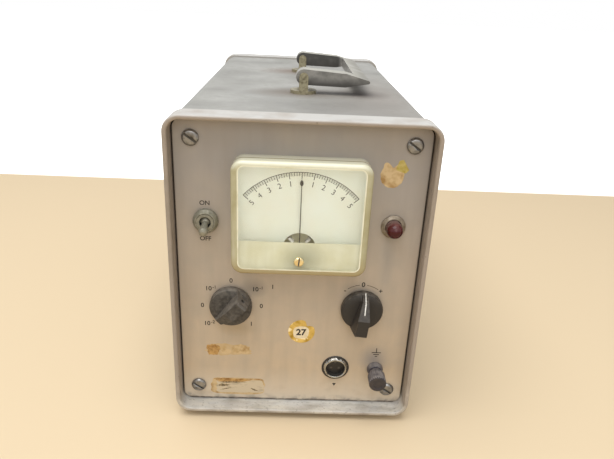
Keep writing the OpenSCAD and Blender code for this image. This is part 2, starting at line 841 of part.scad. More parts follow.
// Round skirt with a wedge bar that narrows to a pointer at +y, its blunt end -y
module knob() {
    r = skirt_d / 2;
    blunt = r - 2;
    tip = r - 4.1;
    color("#3C3936") difference() {
        union() {
            rotate_extrude() polygon([[0, skirt_up], [r, skirt_up], [r, skirt_up + 3.6],
                [r - 0.9, skirt_up + 5], [r * 0.62, skirt_up + 7], [0, skirt_up + 7]]);
            intersection() {
                translate([-bar_root_w, 0, 0]) rotate([90, 0, 90]) linear_extrude(2 * bar_root_w) polygon([
                    [-blunt - 0.6, skirt_up + 3], [-blunt, knob_h - 1], [-blunt + 1.2, knob_h], [0, knob_h],
                    [tip, bar_tip_h], [r - 0.9, skirt_up + 5], [r - 0.9, skirt_up + 3]]);
                translate([0, r, 0]) rotate([90, 0, 0]) linear_extrude(2 * r) polygon([
                    [-bar_root_w / 2, skirt_up + 3], [bar_root_w / 2, skirt_up + 3],
                    [bar_crest_w / 2, knob_h], [-bar_crest_w / 2, knob_h]]);
                translate([0, 0, skirt_up]) linear_extrude(knob_h) polygon([
                    [-bar_root_w / 2, -r], [bar_root_w / 2, -r], [bar_tip_w / 2, r], [-bar_tip_w / 2, r]]);
            }
        }
        post(nut_room_r, skirt_up - 1, nut_room_h);
        post(shaft_d / 2 + fit_press, 0, shaft_up + 0.3);
        translate([0, 0, set_z]) rotate([90, 0, 0]) post(set_r + fit_press, 0, r);
    }
}

module set_screw() {
    from = shaft_d / 2 + fit_press;
    color("#55524C") translate([0, 0, set_z]) rotate([90, 0, 0]) difference() {
        post(set_r, from, from + set_l);
        translate([-set_r - 1, -0.3, from + set_l - 1]) cube([2 * set_r + 2, 0.6, 2]);
    }
}

module shaft(back) {
    color("#B9B6AE") post(shaft_d / 2, back, shaft_up);
}

// Threaded bushing through the panel, bored for the shaft
module bushing_bore(back) {
    post(shaft_d / 2 + fit_run, back - 1, bushing_up + 1);
}

module on_range() {
    on_front([-knob_x, -knob_drop]) rotate([0, 0, range_rest]) children();
}

module on_zero() {
    on_front([knob_x, -knob_drop]) children();
}

detent_z = -panel_t - 2.4;

module range_knob() {
    on_range() knob();
}

module range_shaft() {
    on_range() shaft(range_back);
}

module range_set_screw() {
    on_range() set_screw();
}

module range_bushing() {
    color("#A8A08A") on_front([-knob_x, -knob_drop]) {
        difference() {
            union() {
                post(bushing_d / 2, -panel_t - eps, bushing_up);
                translate([0, 0, detent_z]) linear_extrude(-panel_t - detent_z)
                    rounded(detent[0], detent[1], detent[2]);
            }
            bushing_bore(detent_z);
        }
        for (x = [-spacer_x, spacer_x]) translate([x, 0, 0]) post(spacer_r, range_back, detent_z + eps);
    }
}

module range_wafers() {
    color("#8A6A3A") on_front([-knob_x, -knob_drop]) for (z = wafer_z) translate([0, 0, z]) difference() {
        cylinder(r = wafer_r, h = wafer_t);
        post(wafer_bore_r, -1, wafer_t + 1);
        for (x = [-spacer_x, spacer_x]) translate([x, 0, 0]) post(spacer_r + fit_press, -1, wafer_t + 1);
    }
}

module range_rotors() {
    color("#C9B98A") on_range() for (z = wafer_z) translate([0, 0, z])
        tube(wafer_bore_r - fit_loose, shaft_d / 2 + fit_press, 0, wafer_t);
}

module zero_knob() {
    on_zero() rotate([0, 0, zero_rest]) knob();
}

module zero_shaft() {
    on_zero() shaft(-panel_t - pot_l + 3);
}

module zero_set_screw() {
    on_zero() rotate([0, 0, zero_rest]) set_screw();
}

module zero_pot() {
    wall = 1.6;
    color("#7A7568") on_zero() {
        difference() {
            union() {
                post(bushing_d / 2, -panel_t - eps, bushing_up);
                post(pot_r, -panel_t - pot_l, -panel_t);
            }
            bushing_bore(-panel_t - pot_l + wall + 1);
            post(pot_r - wall, -panel_t - pot_l + wall, -panel_t - wall);
        }
        for (x = [-6, 0, 6]) translate([x - 1, -pot_r - 7, -panel_t - 6]) cube([2, 8, 0.8]);
    }
}

module zero_wiper() {
    color("#B9A46A") on_zero() translate([0, 0, -panel_t - pot_l / 2 - 1]) {
        tube(5, shaft_d / 2 + fit_press, 0, 2);
        difference() {
            translate([-1.5, -pot_r + 2, 0.4]) cube([3, pot_r, 1]);
            post(4, -1, 3);
        }
    }
}

// Pilot lamp

module on_lamp() {
    on_front([side_x, side_z]) children();
}

lens_seat = 1.2;
bezel_h = 2.6;
lamp_back = -18;

module lamp_bezel() {
    seat_r = lens_d / 2 + fit_clear;
    bore_r = lens_d / 2 - 0.7;
    color("#9A8F80") on_lamp() rotate_extrude() polygon([
        [bore_r, lamp_back], [barrel_lamp_r, lamp_back], [barrel_lamp_r, 0], [bezel_d / 2, 0],
        [bezel_d / 2, 1.2], [seat_r + 0.8, bezel_h], [seat_r, bezel_h], [seat_r, lens_seat],
        [bore_r, lens_seat]]);
}

module lamp_lens() {
    r = lens_d / 2;
    shell = 1.2;
    color("#5A2025") on_lamp() difference() {
        union() {
            post(r, lens_seat, lens_proud - r);
            translate([0, 0, lens_proud - r]) sphere(r);
        }
        post(r - shell, lens_seat - r, lens_proud - r - 0.5);
    }
}

module lamp_bulb() {
    base_r = lens_d / 2 - 0.7 - fit_clear;
    glass_r = 3;
    color("#D8D2C0") on_lamp() {
        post(base_r, lamp_back + 1, lens_seat - 3);
        post(glass_r, lens_seat - 3 - eps, lens_proud - lens_d / 2 - glass_r - 1);
        translate([0, 0, lens_proud - lens_d / 2 - glass_r - 1]) sphere(glass_r);
    }
}

// Input connector

module on_input() {
    on_front([input_x, -terminal_drop]) children();
}

collar_h = 0.8;
ring_h = 2.6;
ring_flare = 0.9;
ring_r = input_r + ring_flare;
mouth = 0.4;
ring_nose = 0.5;
bore_front = ring_h - mouth;
socket_z = bore_front - input_bore_l;
shell_back = socket_z - insert_l;

module input_collar() {
    r = collar_d / 2;
    hole = input_r + fit_clear;
    color("#2E2B29") on_input() rotate_extrude() polygon([
        [hole, 0], [r, 0], [r, collar_h - 0.4], [r - 0.4, collar_h], [hole, collar_h]]);
}

insert_r = input_bore_d / 2 + 0.4;

// Plated barrel whose tapered ring holds the collar, widened behind for the insert
module input_shell() {
    bore = input_bore_d / 2;
    color("#C9C8C4") on_input() rotate_extrude() polygon([
        [insert_r, shell_back], [input_r, shell_back], [input_r, collar_h], [ring_r, collar_h],
        [bore + mouth + ring_nose, ring_h], [bore + mouth, ring_h], [bore, bore_front], [bore, socket_z],
        [insert_r, socket_z]]);
}

contact_r = 1;
contact_ring = 3.6;

module at_contacts() {
    for (a = [90, 210, 330]) rotate([0, 0, a]) translate([contact_ring, 0, 0]) children();
}

module input_insert() {
    color("#1F1D1C") on_input() difference() {
        post(insert_r - fit_press, shell_back, socket_z - fit_press);
        at_contacts() post(contact_r + fit_press, shell_back - 1, socket_z + 1);
    }
}

module input_contacts() {
    color("#CBB26A") on_input() at_contacts() post(contact_r, shell_back - 5, socket_z - 0.2);
}

// Binding post

module on_post() {
    on_front([post_x, -terminal_drop]) children();
}

post_neck_r = stud_d / 2 + 1.6;
stud_back = -panel_t - 12;

module post_base() {
    bore = stud_d / 2 + fit_press;
    color("#5E5A5D") on_post() {
        rotate_extrude() polygon([[bore, -panel_t], [post_neck_r, -panel_t], [post_neck_r, 0], [6.1, 0],
            [6.1, 1.6], [5.2, cap_seat - 0.2], [bore, cap_seat - 0.2]]);
        tube(post_washer[0], bore, -panel_t - post_washer[1], -panel_t);
    }
}

module post_stud() {
    color("#B9B6AE") on_post() post(stud_d / 2, stud_back, insert_z[1] + 1);
}

module post_insert() {
    color("#CBB26A") on_post()
        tube(cap_bore_r - fit_run, stud_d / 2 + fit_run, insert_z[0], insert_z[1]);
}

// Cap with a neck, a waist and a grooved grip
module post_cap() {
    r = cap_d / 2;
    grooves = 24;
    color("#6F6A6D") on_post() difference() {
        rotate_extrude() polygon([[0, cap_seat], [4.4, cap_seat], [4.4, cap_seat + 2], [r, cap_seat + 4],
            [r, post_proud - 1], [r - 1, post_proud], [r - 2.4, post_proud], [r - 2.8, post_proud - 0.5],
            [0, post_proud - 0.5]]);
        post(cap_bore_r, cap_seat - 1, post_proud - 1.8);
        for (i = [1:grooves]) rotate([0, 0, 360 * i / grooves]) translate([r + 0.35, 0, cap_seat + 3])
            cylinder(r = 0.7, h = post_proud, $fn = 16);
    }
}

// Every hex nut in the instrument, each on its own thread
module hex_nuts() {
    color("#B9B09A") {
        at_posts() translate([0, 0, -cover_t - strap_t - handle_nut[1]])
            hex_nut(handle_nut[0], stud_r + fit_press, handle_nut[1]);
        on_meter() at_corners(meter_stud[0], meter_stud[1]) translate([0, 0, -panel_t - nut_small_h])
            hex_nut(nut_small_r, meter_stud_r + fit_press, nut_small_h);
        for (s = [-1, 1]) on_front([s * knob_x, -knob_drop])
            hex_nut(nut_big_r, bushing_d / 2 + fit_press, nut_big_h);
        on_lamp() translate([0, 0, -panel_t - lamp_nut[1]])
            hex_nut(lamp_nut[0], barrel_lamp_r + fit_press, lamp_nut[1]);
        on_input() translate([0, 0, -panel_t - input_nut[1]])
            hex_nut(input_nut[0], input_r + fit_press, input_nut[1]);
        on_post() translate([0, 0, -panel_t - post_washer[1] - stud_nut[1]])
            hex_nut(stud_nut[0], stud_d / 2 + fit_press, stud_nut[1]);
    }
}

// Inside the case

core_size = [57, 30, 47.5];
core_leg = 19;
core_back = 55;
deck_z = chassis_z + chassis_t;
core_y = chassis_y[1] - core_back;

module on_deck(x, y) {
    translate([x, y, deck_z]) children();
}

module transformer_core() {
    window = [core_leg / 2, core_size[1] + 2, core_size[2] - core_leg];
    color("#6B6760") on_deck(0, core_y) difference() {
        translate([-core_size[0] / 2, -core_size[1] / 2, 0]) cube(core_size);
        for (s = [-1, 1])
            translate([s * (core_leg + window[0]) / 2 - window[0] / 2, -window[1] / 2, core_leg / 2])
                cube(window);
    }
}

module transformer_coil() {
    gap = fit_loose;
    outer = [2 * core_leg - 2 * gap, core_size[1] + core_leg, core_size[2] - core_leg - 2 * gap];
    inner = [core_leg + 2 * gap, core_size[1] + 2 * gap, core_size[2]];
    color("#B98A4A") on_deck(0, core_y) translate([0, 0, core_size[2] / 2]) difference() {
        cube(outer, center = true);
        cube(inner, center = true);
    }
}

board = [120, 110, 1.6];
board_up = 8;
board_in = 6;
board_y = (chassis_y[0] + core_y) / 2 - 10;
can = [9, 38];
can_row = 28;
can_x = [-36, -12, 12, 36];
drum = [4.5, 14];
drum_row = -8;
drum_x = [-40, -20, 0, 20, 40];
chopper = [44, 16, 20];
chopper_row = -30;

module amplifier_board() {
    color("#7A6A3C") on_deck(0, board_y) {
        translate([-board[0] / 2, -board[1] / 2, board_up]) cube(board);
        at_corners(board[0] / 2 - board_in, board[1] / 2 - board_in) post(board_in / 2, 0, board_up + eps);
    }
}

// Cans, capacitors and a chopper on the board
module board_parts() {
    top = board_up + board[2];
    color("#9A9890") on_deck(0, board_y) {
        for (x = can_x) translate([x, can_row, 0]) post(can[0], top, top + can[1]);
        for (x = drum_x) translate([x, drum_row, 0]) post(drum[0], top, top + drum[1]);
        translate([0, chopper_row, top + chopper[2] / 2]) cube(chopper, center = true);
    }
}

module fuse_holder() {
    color("#262422") on_rear([-rear_x, -rear_drop]) {
        post(fuse_r, -panel_t - fuse_l, eps);
        post(fuse_r + 2, 0, 2.5);
        post(fuse_r - 0.6, 2.5 - eps, 10);
        translate([0, 0, -panel_t - 3]) tube(fuse_r + 3, fuse_r - eps, 0, 3);
    }
}

// Rubber bush with a flange each side of the rear panel
module line_gland() {
    bore = gland_bore_d / 2;
    flange = gland_neck_r + 3;
    color("#262422") on_rear([rear_x, -rear_drop]) rotate_extrude() polygon([
        [bore, -panel_t - 2], [flange, -panel_t - 2], [flange, -panel_t], [gland_neck_r, -panel_t],
        [gland_neck_r, 0], [flange, 0], [flange - 1, 3], [bore, 3]]);
}

front_frame();
rear_frame();
cover();
bottom_plate();
front_panel();
rear_panel();
tie_rods();
chassis();
feet();
foot_screws();
panel_screws();
handle_bail();
handle_posts();
handle_pins();
handle_strap();
meter_case();
meter_cover();
dial_plate();
meter_magnet();
meter_core();
meter_bridge();
moving_coil();
needle();
coil_staff();
jewel_bearings();
hairspring();
zero_screw();
zero_lever();
toggle_body();
toggle_nut();
toggle_lever();
range_knob();
range_shaft();
range_bushing();
range_wafers();
range_rotors();
range_set_screw();
zero_knob();
zero_shaft();
zero_pot();
zero_wiper();
zero_set_screw();
lamp_bezel();
lamp_lens();
lamp_bulb();
input_collar();
input_shell();
input_insert();
input_contacts();
post_base();
post_stud();
post_insert();
post_cap();
hex_nuts();
transformer_core();
transformer_coil();
amplifier_board();
board_parts();
fuse_holder();
line_gland();
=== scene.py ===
"""Looks of a bench null detector, dressed on its packed construction and set on a plain stage."""

import json
import math

import bmesh
import bpy
from bpy.props import FloatProperty, FloatVectorProperty, PointerProperty, StringProperty
from mathutils import Matrix, Vector


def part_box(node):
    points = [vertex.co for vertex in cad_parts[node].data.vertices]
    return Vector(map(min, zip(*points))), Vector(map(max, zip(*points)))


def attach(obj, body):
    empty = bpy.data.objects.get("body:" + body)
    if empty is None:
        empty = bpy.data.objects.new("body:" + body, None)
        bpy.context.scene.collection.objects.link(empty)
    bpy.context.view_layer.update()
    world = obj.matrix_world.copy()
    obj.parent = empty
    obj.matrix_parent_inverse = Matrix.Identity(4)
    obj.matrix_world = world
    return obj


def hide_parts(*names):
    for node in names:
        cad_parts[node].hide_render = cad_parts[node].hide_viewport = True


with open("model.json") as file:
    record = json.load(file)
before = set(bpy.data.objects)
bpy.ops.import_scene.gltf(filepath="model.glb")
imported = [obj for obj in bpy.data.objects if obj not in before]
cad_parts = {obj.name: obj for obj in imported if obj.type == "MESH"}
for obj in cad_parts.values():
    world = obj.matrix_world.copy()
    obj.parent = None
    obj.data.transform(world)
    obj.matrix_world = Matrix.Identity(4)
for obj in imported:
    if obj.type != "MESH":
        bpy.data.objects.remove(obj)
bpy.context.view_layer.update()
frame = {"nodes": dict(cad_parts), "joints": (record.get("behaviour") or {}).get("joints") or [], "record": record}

bl_info = {
    "name": "Null Detector Looks",
    "version": (1, 0, 0),
    "blender": (4, 5, 0),
    "location": "View3D > Sidebar > Detector",
    "description": "Finishes, markings and stage of a bench null detector",
    "category": "Object",
}

MM = 0.001

# Sockets of a Mix node that blends colours
FACTOR, UNDER, OVER, BLENDED = 0, 6, 7, 2

# Detail of the noise in cloudy patches and in fine grain
CLOUD_DETAIL, GRAIN_DETAIL = 4.0, 2.0

# Points nearer than this are one, faces flatter than this are one, edges blunter than this are smooth
TOUCHING, FLAT, SMOOTH = 0.001 * MM, math.radians(1), math.radians(40)

# Finishes on the faces of the clear meter front, by their number; the window is number 0
APRON, STRAW, PAINTED_HIGHLIGHT = 1, 2, 3

# Places taken from the construction
PIVOT = {joint["name"]: Vector(joint["pos_m"]) for joint in frame["joints"] if "pos_m" in joint}
FACE_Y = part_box("front_panel")[0].y
FRONT_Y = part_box("front_frame")[0].y
REAR_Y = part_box("rear_frame")[1].y
DIAL_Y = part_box("dial_plate")[0].y
TOP_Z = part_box("cover")[1].z
BASE_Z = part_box("front_frame")[0].z


def linear(code):
    """Linear RGBA of an sRGB hex colour."""
    channels = [int(code[i:i + 2], 16) / 255 for i in (0, 2, 4)]
    return [c / 12.92 if c <= 0.04045 else ((c + 0.055) / 1.055) ** 2.4 for c in channels] + [1.0]


def middle(node):
    """Middle of a solid's box."""
    low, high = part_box(node)
    return (low + high) / 2


class DetectorSizes(bpy.types.PropertyGroup):
    """Sizes of the rounded edges and the printing."""

    lip_round: FloatProperty(
        name="Frame lips", description="Rounding of the end frames' lips",
        default=1.35 * MM, unit="LENGTH")
    handle_round: FloatProperty(
        name="Handle edges", description="Rounding of the handle's long edges",
        default=4.6 * MM, unit="LENGTH")
    knob_round: FloatProperty(
        name="Knob edges", description="Rounding of the knobs' edges",
        default=0.7 * MM, unit="LENGTH")
    meter_round: FloatProperty(
        name="Meter front edge", description="Rounding of the clear front's outer edge",
        default=2.6 * MM, unit="LENGTH")
    meter_wall: FloatProperty(
        name="Meter wall", description="Wall of the clear front",
        default=2.6 * MM, unit="LENGTH")
    apron_drop: FloatProperty(
        name="Apron", description="Frosted apron's upper edge below the middle of the meter",
        default=15.6 * MM, unit="LENGTH")
    scale_radius: FloatProperty(
        name="Scale radius", description="Radius of the dial's printed arc",
        default=52.0 * MM, unit="LENGTH")
    scale_angle: FloatProperty(
        name="Scale half angle", description="Angle from the zero to the end of the scale",
        default=math.radians(47.8), subtype="ANGLE")
    digit_radius: FloatProperty(
        name="Digit radius", description="Radius on which the dial's digits stand",
        default=44.1 * MM, unit="LENGTH")
    digit_size: FloatProperty(
        name="Digit size", description="Type size of the dial's digits",
        default=5.3 * MM, unit="LENGTH")
    legend_size: FloatProperty(
        name="Legend size", description="Type size of the switch's words",
        default=4.5 * MM, unit="LENGTH")
    range_size: FloatProperty(
        name="Range size", description="Type size of the numbers round the range knob",
        default=4.8 * MM, unit="LENGTH")
    print_height: FloatProperty(
        name="Print height", description="Thickness of printed ink",
        default=0.05 * MM, unit="LENGTH")
    sticker_number: StringProperty(
        name="Sticker number", description="Plain number on the gold sticker", default="27")


class DetectorColours(bpy.types.PropertyGroup):
    """Main colours of the finishes."""

    frame_paint: FloatVectorProperty(
        name="Frame enamel", description="Enamel of the end frames",
        default=linear("9F9387"), size=4, subtype="COLOR")
    panel_paint: FloatVectorProperty(
        name="Panel enamel", description="Enamel of both panels",
        default=linear("A19A94"), size=4, subtype="COLOR")
    cover_paint: FloatVectorProperty(
        name="Cover enamel", description="Enamel of the cover",
        default=linear("888783"), size=4, subtype="COLOR")
    handle_vinyl: FloatVectorProperty(
        name="Handle vinyl", description="Vinyl of the handle under its dust",
        default=linear("4A4844"), size=4, subtype="COLOR")
    knob_phenolic: FloatVectorProperty(
        name="Knob phenolic", description="Moulding of both knobs",
        default=linear("2C2926"), size=4, subtype="COLOR")
    dial_ivory: FloatVectorProperty(
        name="Dial ivory", description="Enamel of the dial plate",
        default=linear("E0E5D8"), size=4, subtype="COLOR")
    lens_red: FloatVectorProperty(
        name="Lens red", description="Glass of the pilot lamp's lens",
        default=linear("420A10"), size=4, subtype="COLOR")
    floor: FloatVectorProperty(
        name="Floor", description="Pale floor under the instrument",
        default=linear("E0CBA9"), size=4, subtype="COLOR")


class DetectorStage(bpy.types.PropertyGroup):
    """Light levels and the camera."""

    world_strength: FloatProperty(
        name="Sky", description="Strength of the even light from all round", default=0.45)
    ceiling_power: FloatProperty(
        name="Ceiling light", description="Power of the wide light above", default=33.0, unit="POWER")
    front_power: FloatProperty(
        name="Front light", description="Power of the wide light in front", default=11.0, unit="POWER")
    lens: FloatProperty(
        name="Lens", description="Focal length of the camera", default=33.34, unit="CAMERA")
    wall_y: FloatProperty(
        name="White from", description="Distance behind the middle from which the floor is white",
        default=0.40, unit="LENGTH")


# Nodes and finishes


def add(tree, kind, inputs=None, **settings):
    """Adds a node: settings are its options, inputs its sockets by name or number."""
    node = tree.nodes.new(kind)
    for key, value in settings.items():
        setattr(node, key, value)
    for key, value in (inputs or {}).items():
        if isinstance(value, bpy.types.NodeSocket):
            tree.links.new(value, node.inputs[key])
        else:
            node.inputs[key].default_value = value
    return node


def spacing(mm):
    """Scale of a pattern on Object coordinates, from the real size of its grains."""
    return 1 / (mm * MM)


class Finish:
    """A material in the making: masks on its Object coordinates, and what they let through."""

    def __init__(self, name, **values):
        """Starts from plain values of the shader, such as roughness=0.5."""
        self.material = bpy.data.materials.new(name)
        self.material.use_nodes = True
        self.tree = self.material.node_tree
        self.shader = self.tree.nodes["Principled BSDF"]
        for key, value in values.items():
            socket = key.replace("_", " ").title().replace("Ior", "IOR")
            self.shader.inputs[socket].default_value = value
        self.coords = add(self.tree, "ShaderNodeTexCoord").outputs["Object"]

    def patches(self, grain_mm, low, high, most=1.0, stretch=(1, 1, 1)):
        """Mask of cloudy patches of a real size: 0 below low, most above high. Most may be a mask."""
        placed = add(self.tree, "ShaderNodeMapping", {"Vector": self.coords, "Scale": stretch}).outputs[0]
        cloud = add(self.tree, "ShaderNodeTexNoise", {
            "Vector": placed, "Scale": spacing(grain_mm), "Detail": CLOUD_DETAIL}).outputs["Fac"]
        return add(self.tree, "ShaderNodeMapRange", {
            "Value": cloud, "From Min": low, "From Max": high, "To Max": most}).outputs[0]

    def smudge(self, place, reach, strength):
        """Mask of a soft round spot at a place, fading over its reach in mm along each axis."""
        scale = [r * MM for r in reach]
        near = add(self.tree, "ShaderNodeMapping", {
            "Vector": self.coords, "Location": place, "Scale": scale}, vector_type="TEXTURE").outputs[0]
        spot = add(self.tree, "ShaderNodeTexGradient", {"Vector": near}, gradient_type="SPHERICAL")
        return add(self.tree, "ShaderNodeMapRange", {
            "Value": spot.outputs["Fac"], "To Max": strength}).outputs[0]

    def fade(self, axis, start, end, most=1.0, vector=None):
        """Mask that grows from nothing to most between two places on an axis. Most may be a mask."""
        along = self.coords if vector is None else vector
        place = add(self.tree, "ShaderNodeSeparateXYZ", {"Vector": along}).outputs[axis]
        return add(self.tree, "ShaderNodeMapRange", {
            "Value": place, "From Min": start, "From Max": end, "To Max": most}).outputs[0]

    def settled_dust(self, grain_mm, low, high):
        """Mask of dust that lies on faces turned upwards, broken into patches."""
        normal = add(self.tree, "ShaderNodeTexCoord").outputs["Normal"]
        flat = self.fade("Z", 0.1, 0.9, vector=normal)
        return self.patches(grain_mm, low, high, flat)

    def grain_bump(self, grain_mm, depth_mm):
        """Unevenness of a surface, from the depth of its grains and a size that is coarse enough to show."""
        noise = add(self.tree, "ShaderNodeTexNoise", {
            "Vector": self.coords, "Scale": spacing(grain_mm), "Detail": GRAIN_DETAIL}).outputs["Fac"]
        bump = add(self.tree, "ShaderNodeBump", {"Height": noise, "Distance": depth_mm * MM})
        self.tree.links.new(bump.outputs[0], self.shader.inputs["Normal"])

    def paint(self, base, marks):
        """Lays marks of a colour over a base colour, each where its mask lets it through."""
        tone = base
        for mask, code in marks:
            tone = add(self.tree, "ShaderNodeMix", {
                FACTOR: mask, UNDER: tone, OVER: linear(code)}, data_type="RGBA").outputs[BLENDED]
        self.tree.links.new(tone, self.shader.inputs["Base Color"])

    def dulled(self, mask, bright, dull):
        """Sets the roughness between a bright and a dull value by a mask."""
        rough = add(self.tree, "ShaderNodeMapRange", {"Value": mask, "To Min": bright, "To Max": dull})
        self.tree.links.new(rough.outputs[0], self.shader.inputs["Roughness"])

    def let_lamps_through(self):
        """Lets light pass a clear piece, so that what lies behind it isn't left in the dark."""
        shadow = add(self.tree, "ShaderNodeLightPath").outputs["Is Shadow Ray"]
        clear = add(self.tree, "ShaderNodeBsdfTransparent", {"Color": linear("FFFFFF")}).outputs[0]
        mixed = add(self.tree, "ShaderNodeMixShader", {0: shadow, 1: self.shader.outputs[0], 2: clear})
        self.tree.links.new(mixed.outputs[0], self.tree.nodes["Material Output"].inputs["Surface"])


def two_tone(name, base, mark, grain_mm, limits, rough, stretch=(1, 1, 1), **values):
    """A finish of two tones in patches of a real size, each with its own roughness."""
    look = Finish(name, **values)
    mask = look.patches(grain_mm, *limits, stretch=stretch)
    look.paint(linear(base), [(mask, mark)])
    look.dulled(mask, *rough)
    return look


def colours():
    """The colours that the panel offers."""
    return bpy.context.scene.detector_colours


def frame_enamel():
    # Baked enamel on a die casting: soft sheen, cloudy grime, dust on top, a pale mottled sill, few chips
    look = Finish("Frame enamel", roughness=0.5)
    sill = look.fade("Z", BASE_Z + 30 * MM, BASE_Z + 3 * MM)
    edge = look.fade("Y", FRONT_Y + 2.2 * MM, FRONT_Y)
    look.paint(colours().frame_paint, [
        (look.patches(14, 0.48, 0.78), "94897B"),
        (look.fade("Y", 0, REAR_Y, 0.9), "A5A29C"),
        (look.settled_dust(20, 0.15, 0.55), "BDBBB6"),
        (look.patches(6, 0.30, 0.70, sill, (0.4, 1, 1)), "CFC9BC"),
        (look.patches(9, 0.48, 0.72, sill, (0.5, 1, 1)), "A49D91"),
        (look.patches(1.6, 0.58, 0.74, sill, (0.7, 1, 1)), "8F887C"),
        (look.patches(2.4, 0.68, 0.74, edge), "857B6D")])
    look.grain_bump(0.9, 0.03)
    return look


def panel_enamel():
    # Stoved enamel on sheet: grey above, paler and warmer below as painted bounce light from the floor, hand
    # grime, faint wipe marks, dark edges that are grime and painted shade
    look = Finish("Panel enamel", roughness=0.5)
    knob, zero, toggle, post = (PIVOT[n] for n in ("range_turn", "zero_turn", "power_toggle", "cap_turn"))
    lamp, edge = middle("lamp_bezel"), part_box("front_panel")[1].x
    sill = look.fade("Z", BASE_Z + 34 * MM, BASE_Z + 4 * MM)
    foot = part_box("front_panel")[0].z
    grime = look.fade("Z", foot + 6 * MM, foot + 1 * MM, 0.8)
    joint = look.fade("Z", foot + 1.4 * MM, foot + 0.4 * MM)
    marks = [
        # Painted light: paler and warmer towards the bottom, standing in for bounce light from the floor
        (look.fade("Z", TOP_Z - 35 * MM, BASE_Z + 35 * MM), "C9B59A"),
        (look.patches(7, 0.35, 0.85, 0.3, (1, 1, 0.12)), "8F8578"),
        (look.patches(30, 0.42, 0.75, 0.35), "B3A694"),
        (look.patches(11, 0.42, 0.70, 0.16), "95948D"),
        (look.patches(12, 0.15, 0.50, sill), "D6C9B5"),
        (look.patches(5, 0.60, 0.70, grime), "8D877E"),
        (look.patches(8, 0.40, 0.68, grime), "8F867A"),
        # Dark patches along the panel's foot: grime, and painted shade of the gap above the frame's sill
        (look.patches(7, 0.25, 0.50, joint), "5A4F45"),
        # Dark lines along the panel's side edges: grime, and painted shade of the gaps beside the frame
        (look.fade("X", edge - 0.7 * MM, edge - 0.1 * MM), "4A4038"),
        (look.fade("X", 0.7 * MM - edge, 0.1 * MM - edge), "4A4038")]
    for x, z, wide, high, strength, code in (
            (knob.x + 17 * MM, knob.z + 14 * MM, 11, 9, 0.55, "726C68"),
            (knob.x + 4 * MM, knob.z - 20 * MM, 16, 8, 0.45, "A0875F"),
            (lamp.x - 2 * MM, lamp.z - 25 * MM, 7, 30, 0.40, "8C8A87"),
            (lamp.x, lamp.z, 15, 14, 0.35, "857B6F"),
            (toggle.x, toggle.z, 15, 15, 0.35, "80796A"),
            (post.x - 2 * MM, post.z + 9 * MM, 13, 14, 0.75, "8E8988"),
            (zero.x - 6 * MM, zero.z + 15 * MM, 12, 8, 0.35, "807A72")):
        marks.append((look.smudge((x, FACE_Y, z), (wide, 60, high), strength), code))
    look.paint(colours().panel_paint, marks)
    look.grain_bump(0.7, 0.012)
    return look


def cover_enamel():
    # Textured grey enamel on sheet steel: fine pimpled grain, pale dust on top, brown rust bloom, a painted shadow
    # under the handle's tip
    look = Finish("Cover enamel", roughness=0.62)
    near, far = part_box("handle_posts")
    look.paint(colours().cover_paint, [
        (look.patches(40, 0.40, 0.75), "82817B"),
        (look.settled_dust(45, 0.30, 0.75), "A9A8A3"),
        (look.settled_dust(6, 0.45, 0.75), "92918B"),
        (look.smudge((60 * MM, near.y, TOP_Z), (60, 150, 40), 0.6), "7D736A"),
        (look.smudge((-6 * MM, far.y - 10 * MM, TOP_Z), (40, 30, 30), 0.85), "66503F"),
        (look.smudge((-2 * MM, near.y + 8 * MM, TOP_Z), (46, 28, 30), 0.9), "5F5142"),
        # Painted shadow: dark brown spot on the cover under the tip of the handle's front arm
        (look.smudge((46 * MM, near.y + 12 * MM, TOP_Z), (26, 26, 30), 0.9), "4A403A"),
        (look.smudge((22 * MM, FRONT_Y + 45 * MM, TOP_Z), (70, 60, 30), 0.45), "74716C")])
    look.grain_bump(1.1, 0.09)
    return look


def plated_steel():
    # Zinc plate on steel: pale grey metal with a cloudy bloom
    return two_tone("Zinc plated steel", "C5C5C2", "A7A6A0", 5, (0.35, 0.75), (0.3, 0.5), metallic=1.0)


def chassis_aluminium():
    # Bare rolled aluminium: lines along the roll, drawn coarse enough to show, dulled by age
    return two_tone("Rolled aluminium", "CFCFCB", "B2B1AB", 1.2, (0.3, 0.7), (0.35, 0.5), (1, 0.05, 1),
                    metallic=1.0)


def nickel_screw():
    # Dull nickel plate on turned screws: grey metal, tarnish in small patches
    return two_tone("Dull nickel", "959390", "6C6965", 3, (0.42, 0.72), (0.3, 0.5), metallic=0.85)


def grime_and_gap_shade():
    # Near-black brown in the joint of a frame and its panel, matt: old dirt packed there, and painted shade in the
    # gap
    return two_tone("Grime and gap shade", "26211C", "443B32", 2, (0.35, 0.75), (0.9, 0.9))


def slot_dirt():
    # Dirt in the slots of screws: brown-grey, matt
    return two_tone("Slot dirt", "625D56", "756F66", 2, (0.35, 0.75), (0.8, 0.9))


def black_rubber():
    # Moulded rubber: matt black with a grey bloom
    look = two_tone("Moulded rubber", "262523", "3D3B38", 4, (0.4, 0.8), (0.8, 0.8))
    look.grain_bump(0.8, 0.03)
    return look


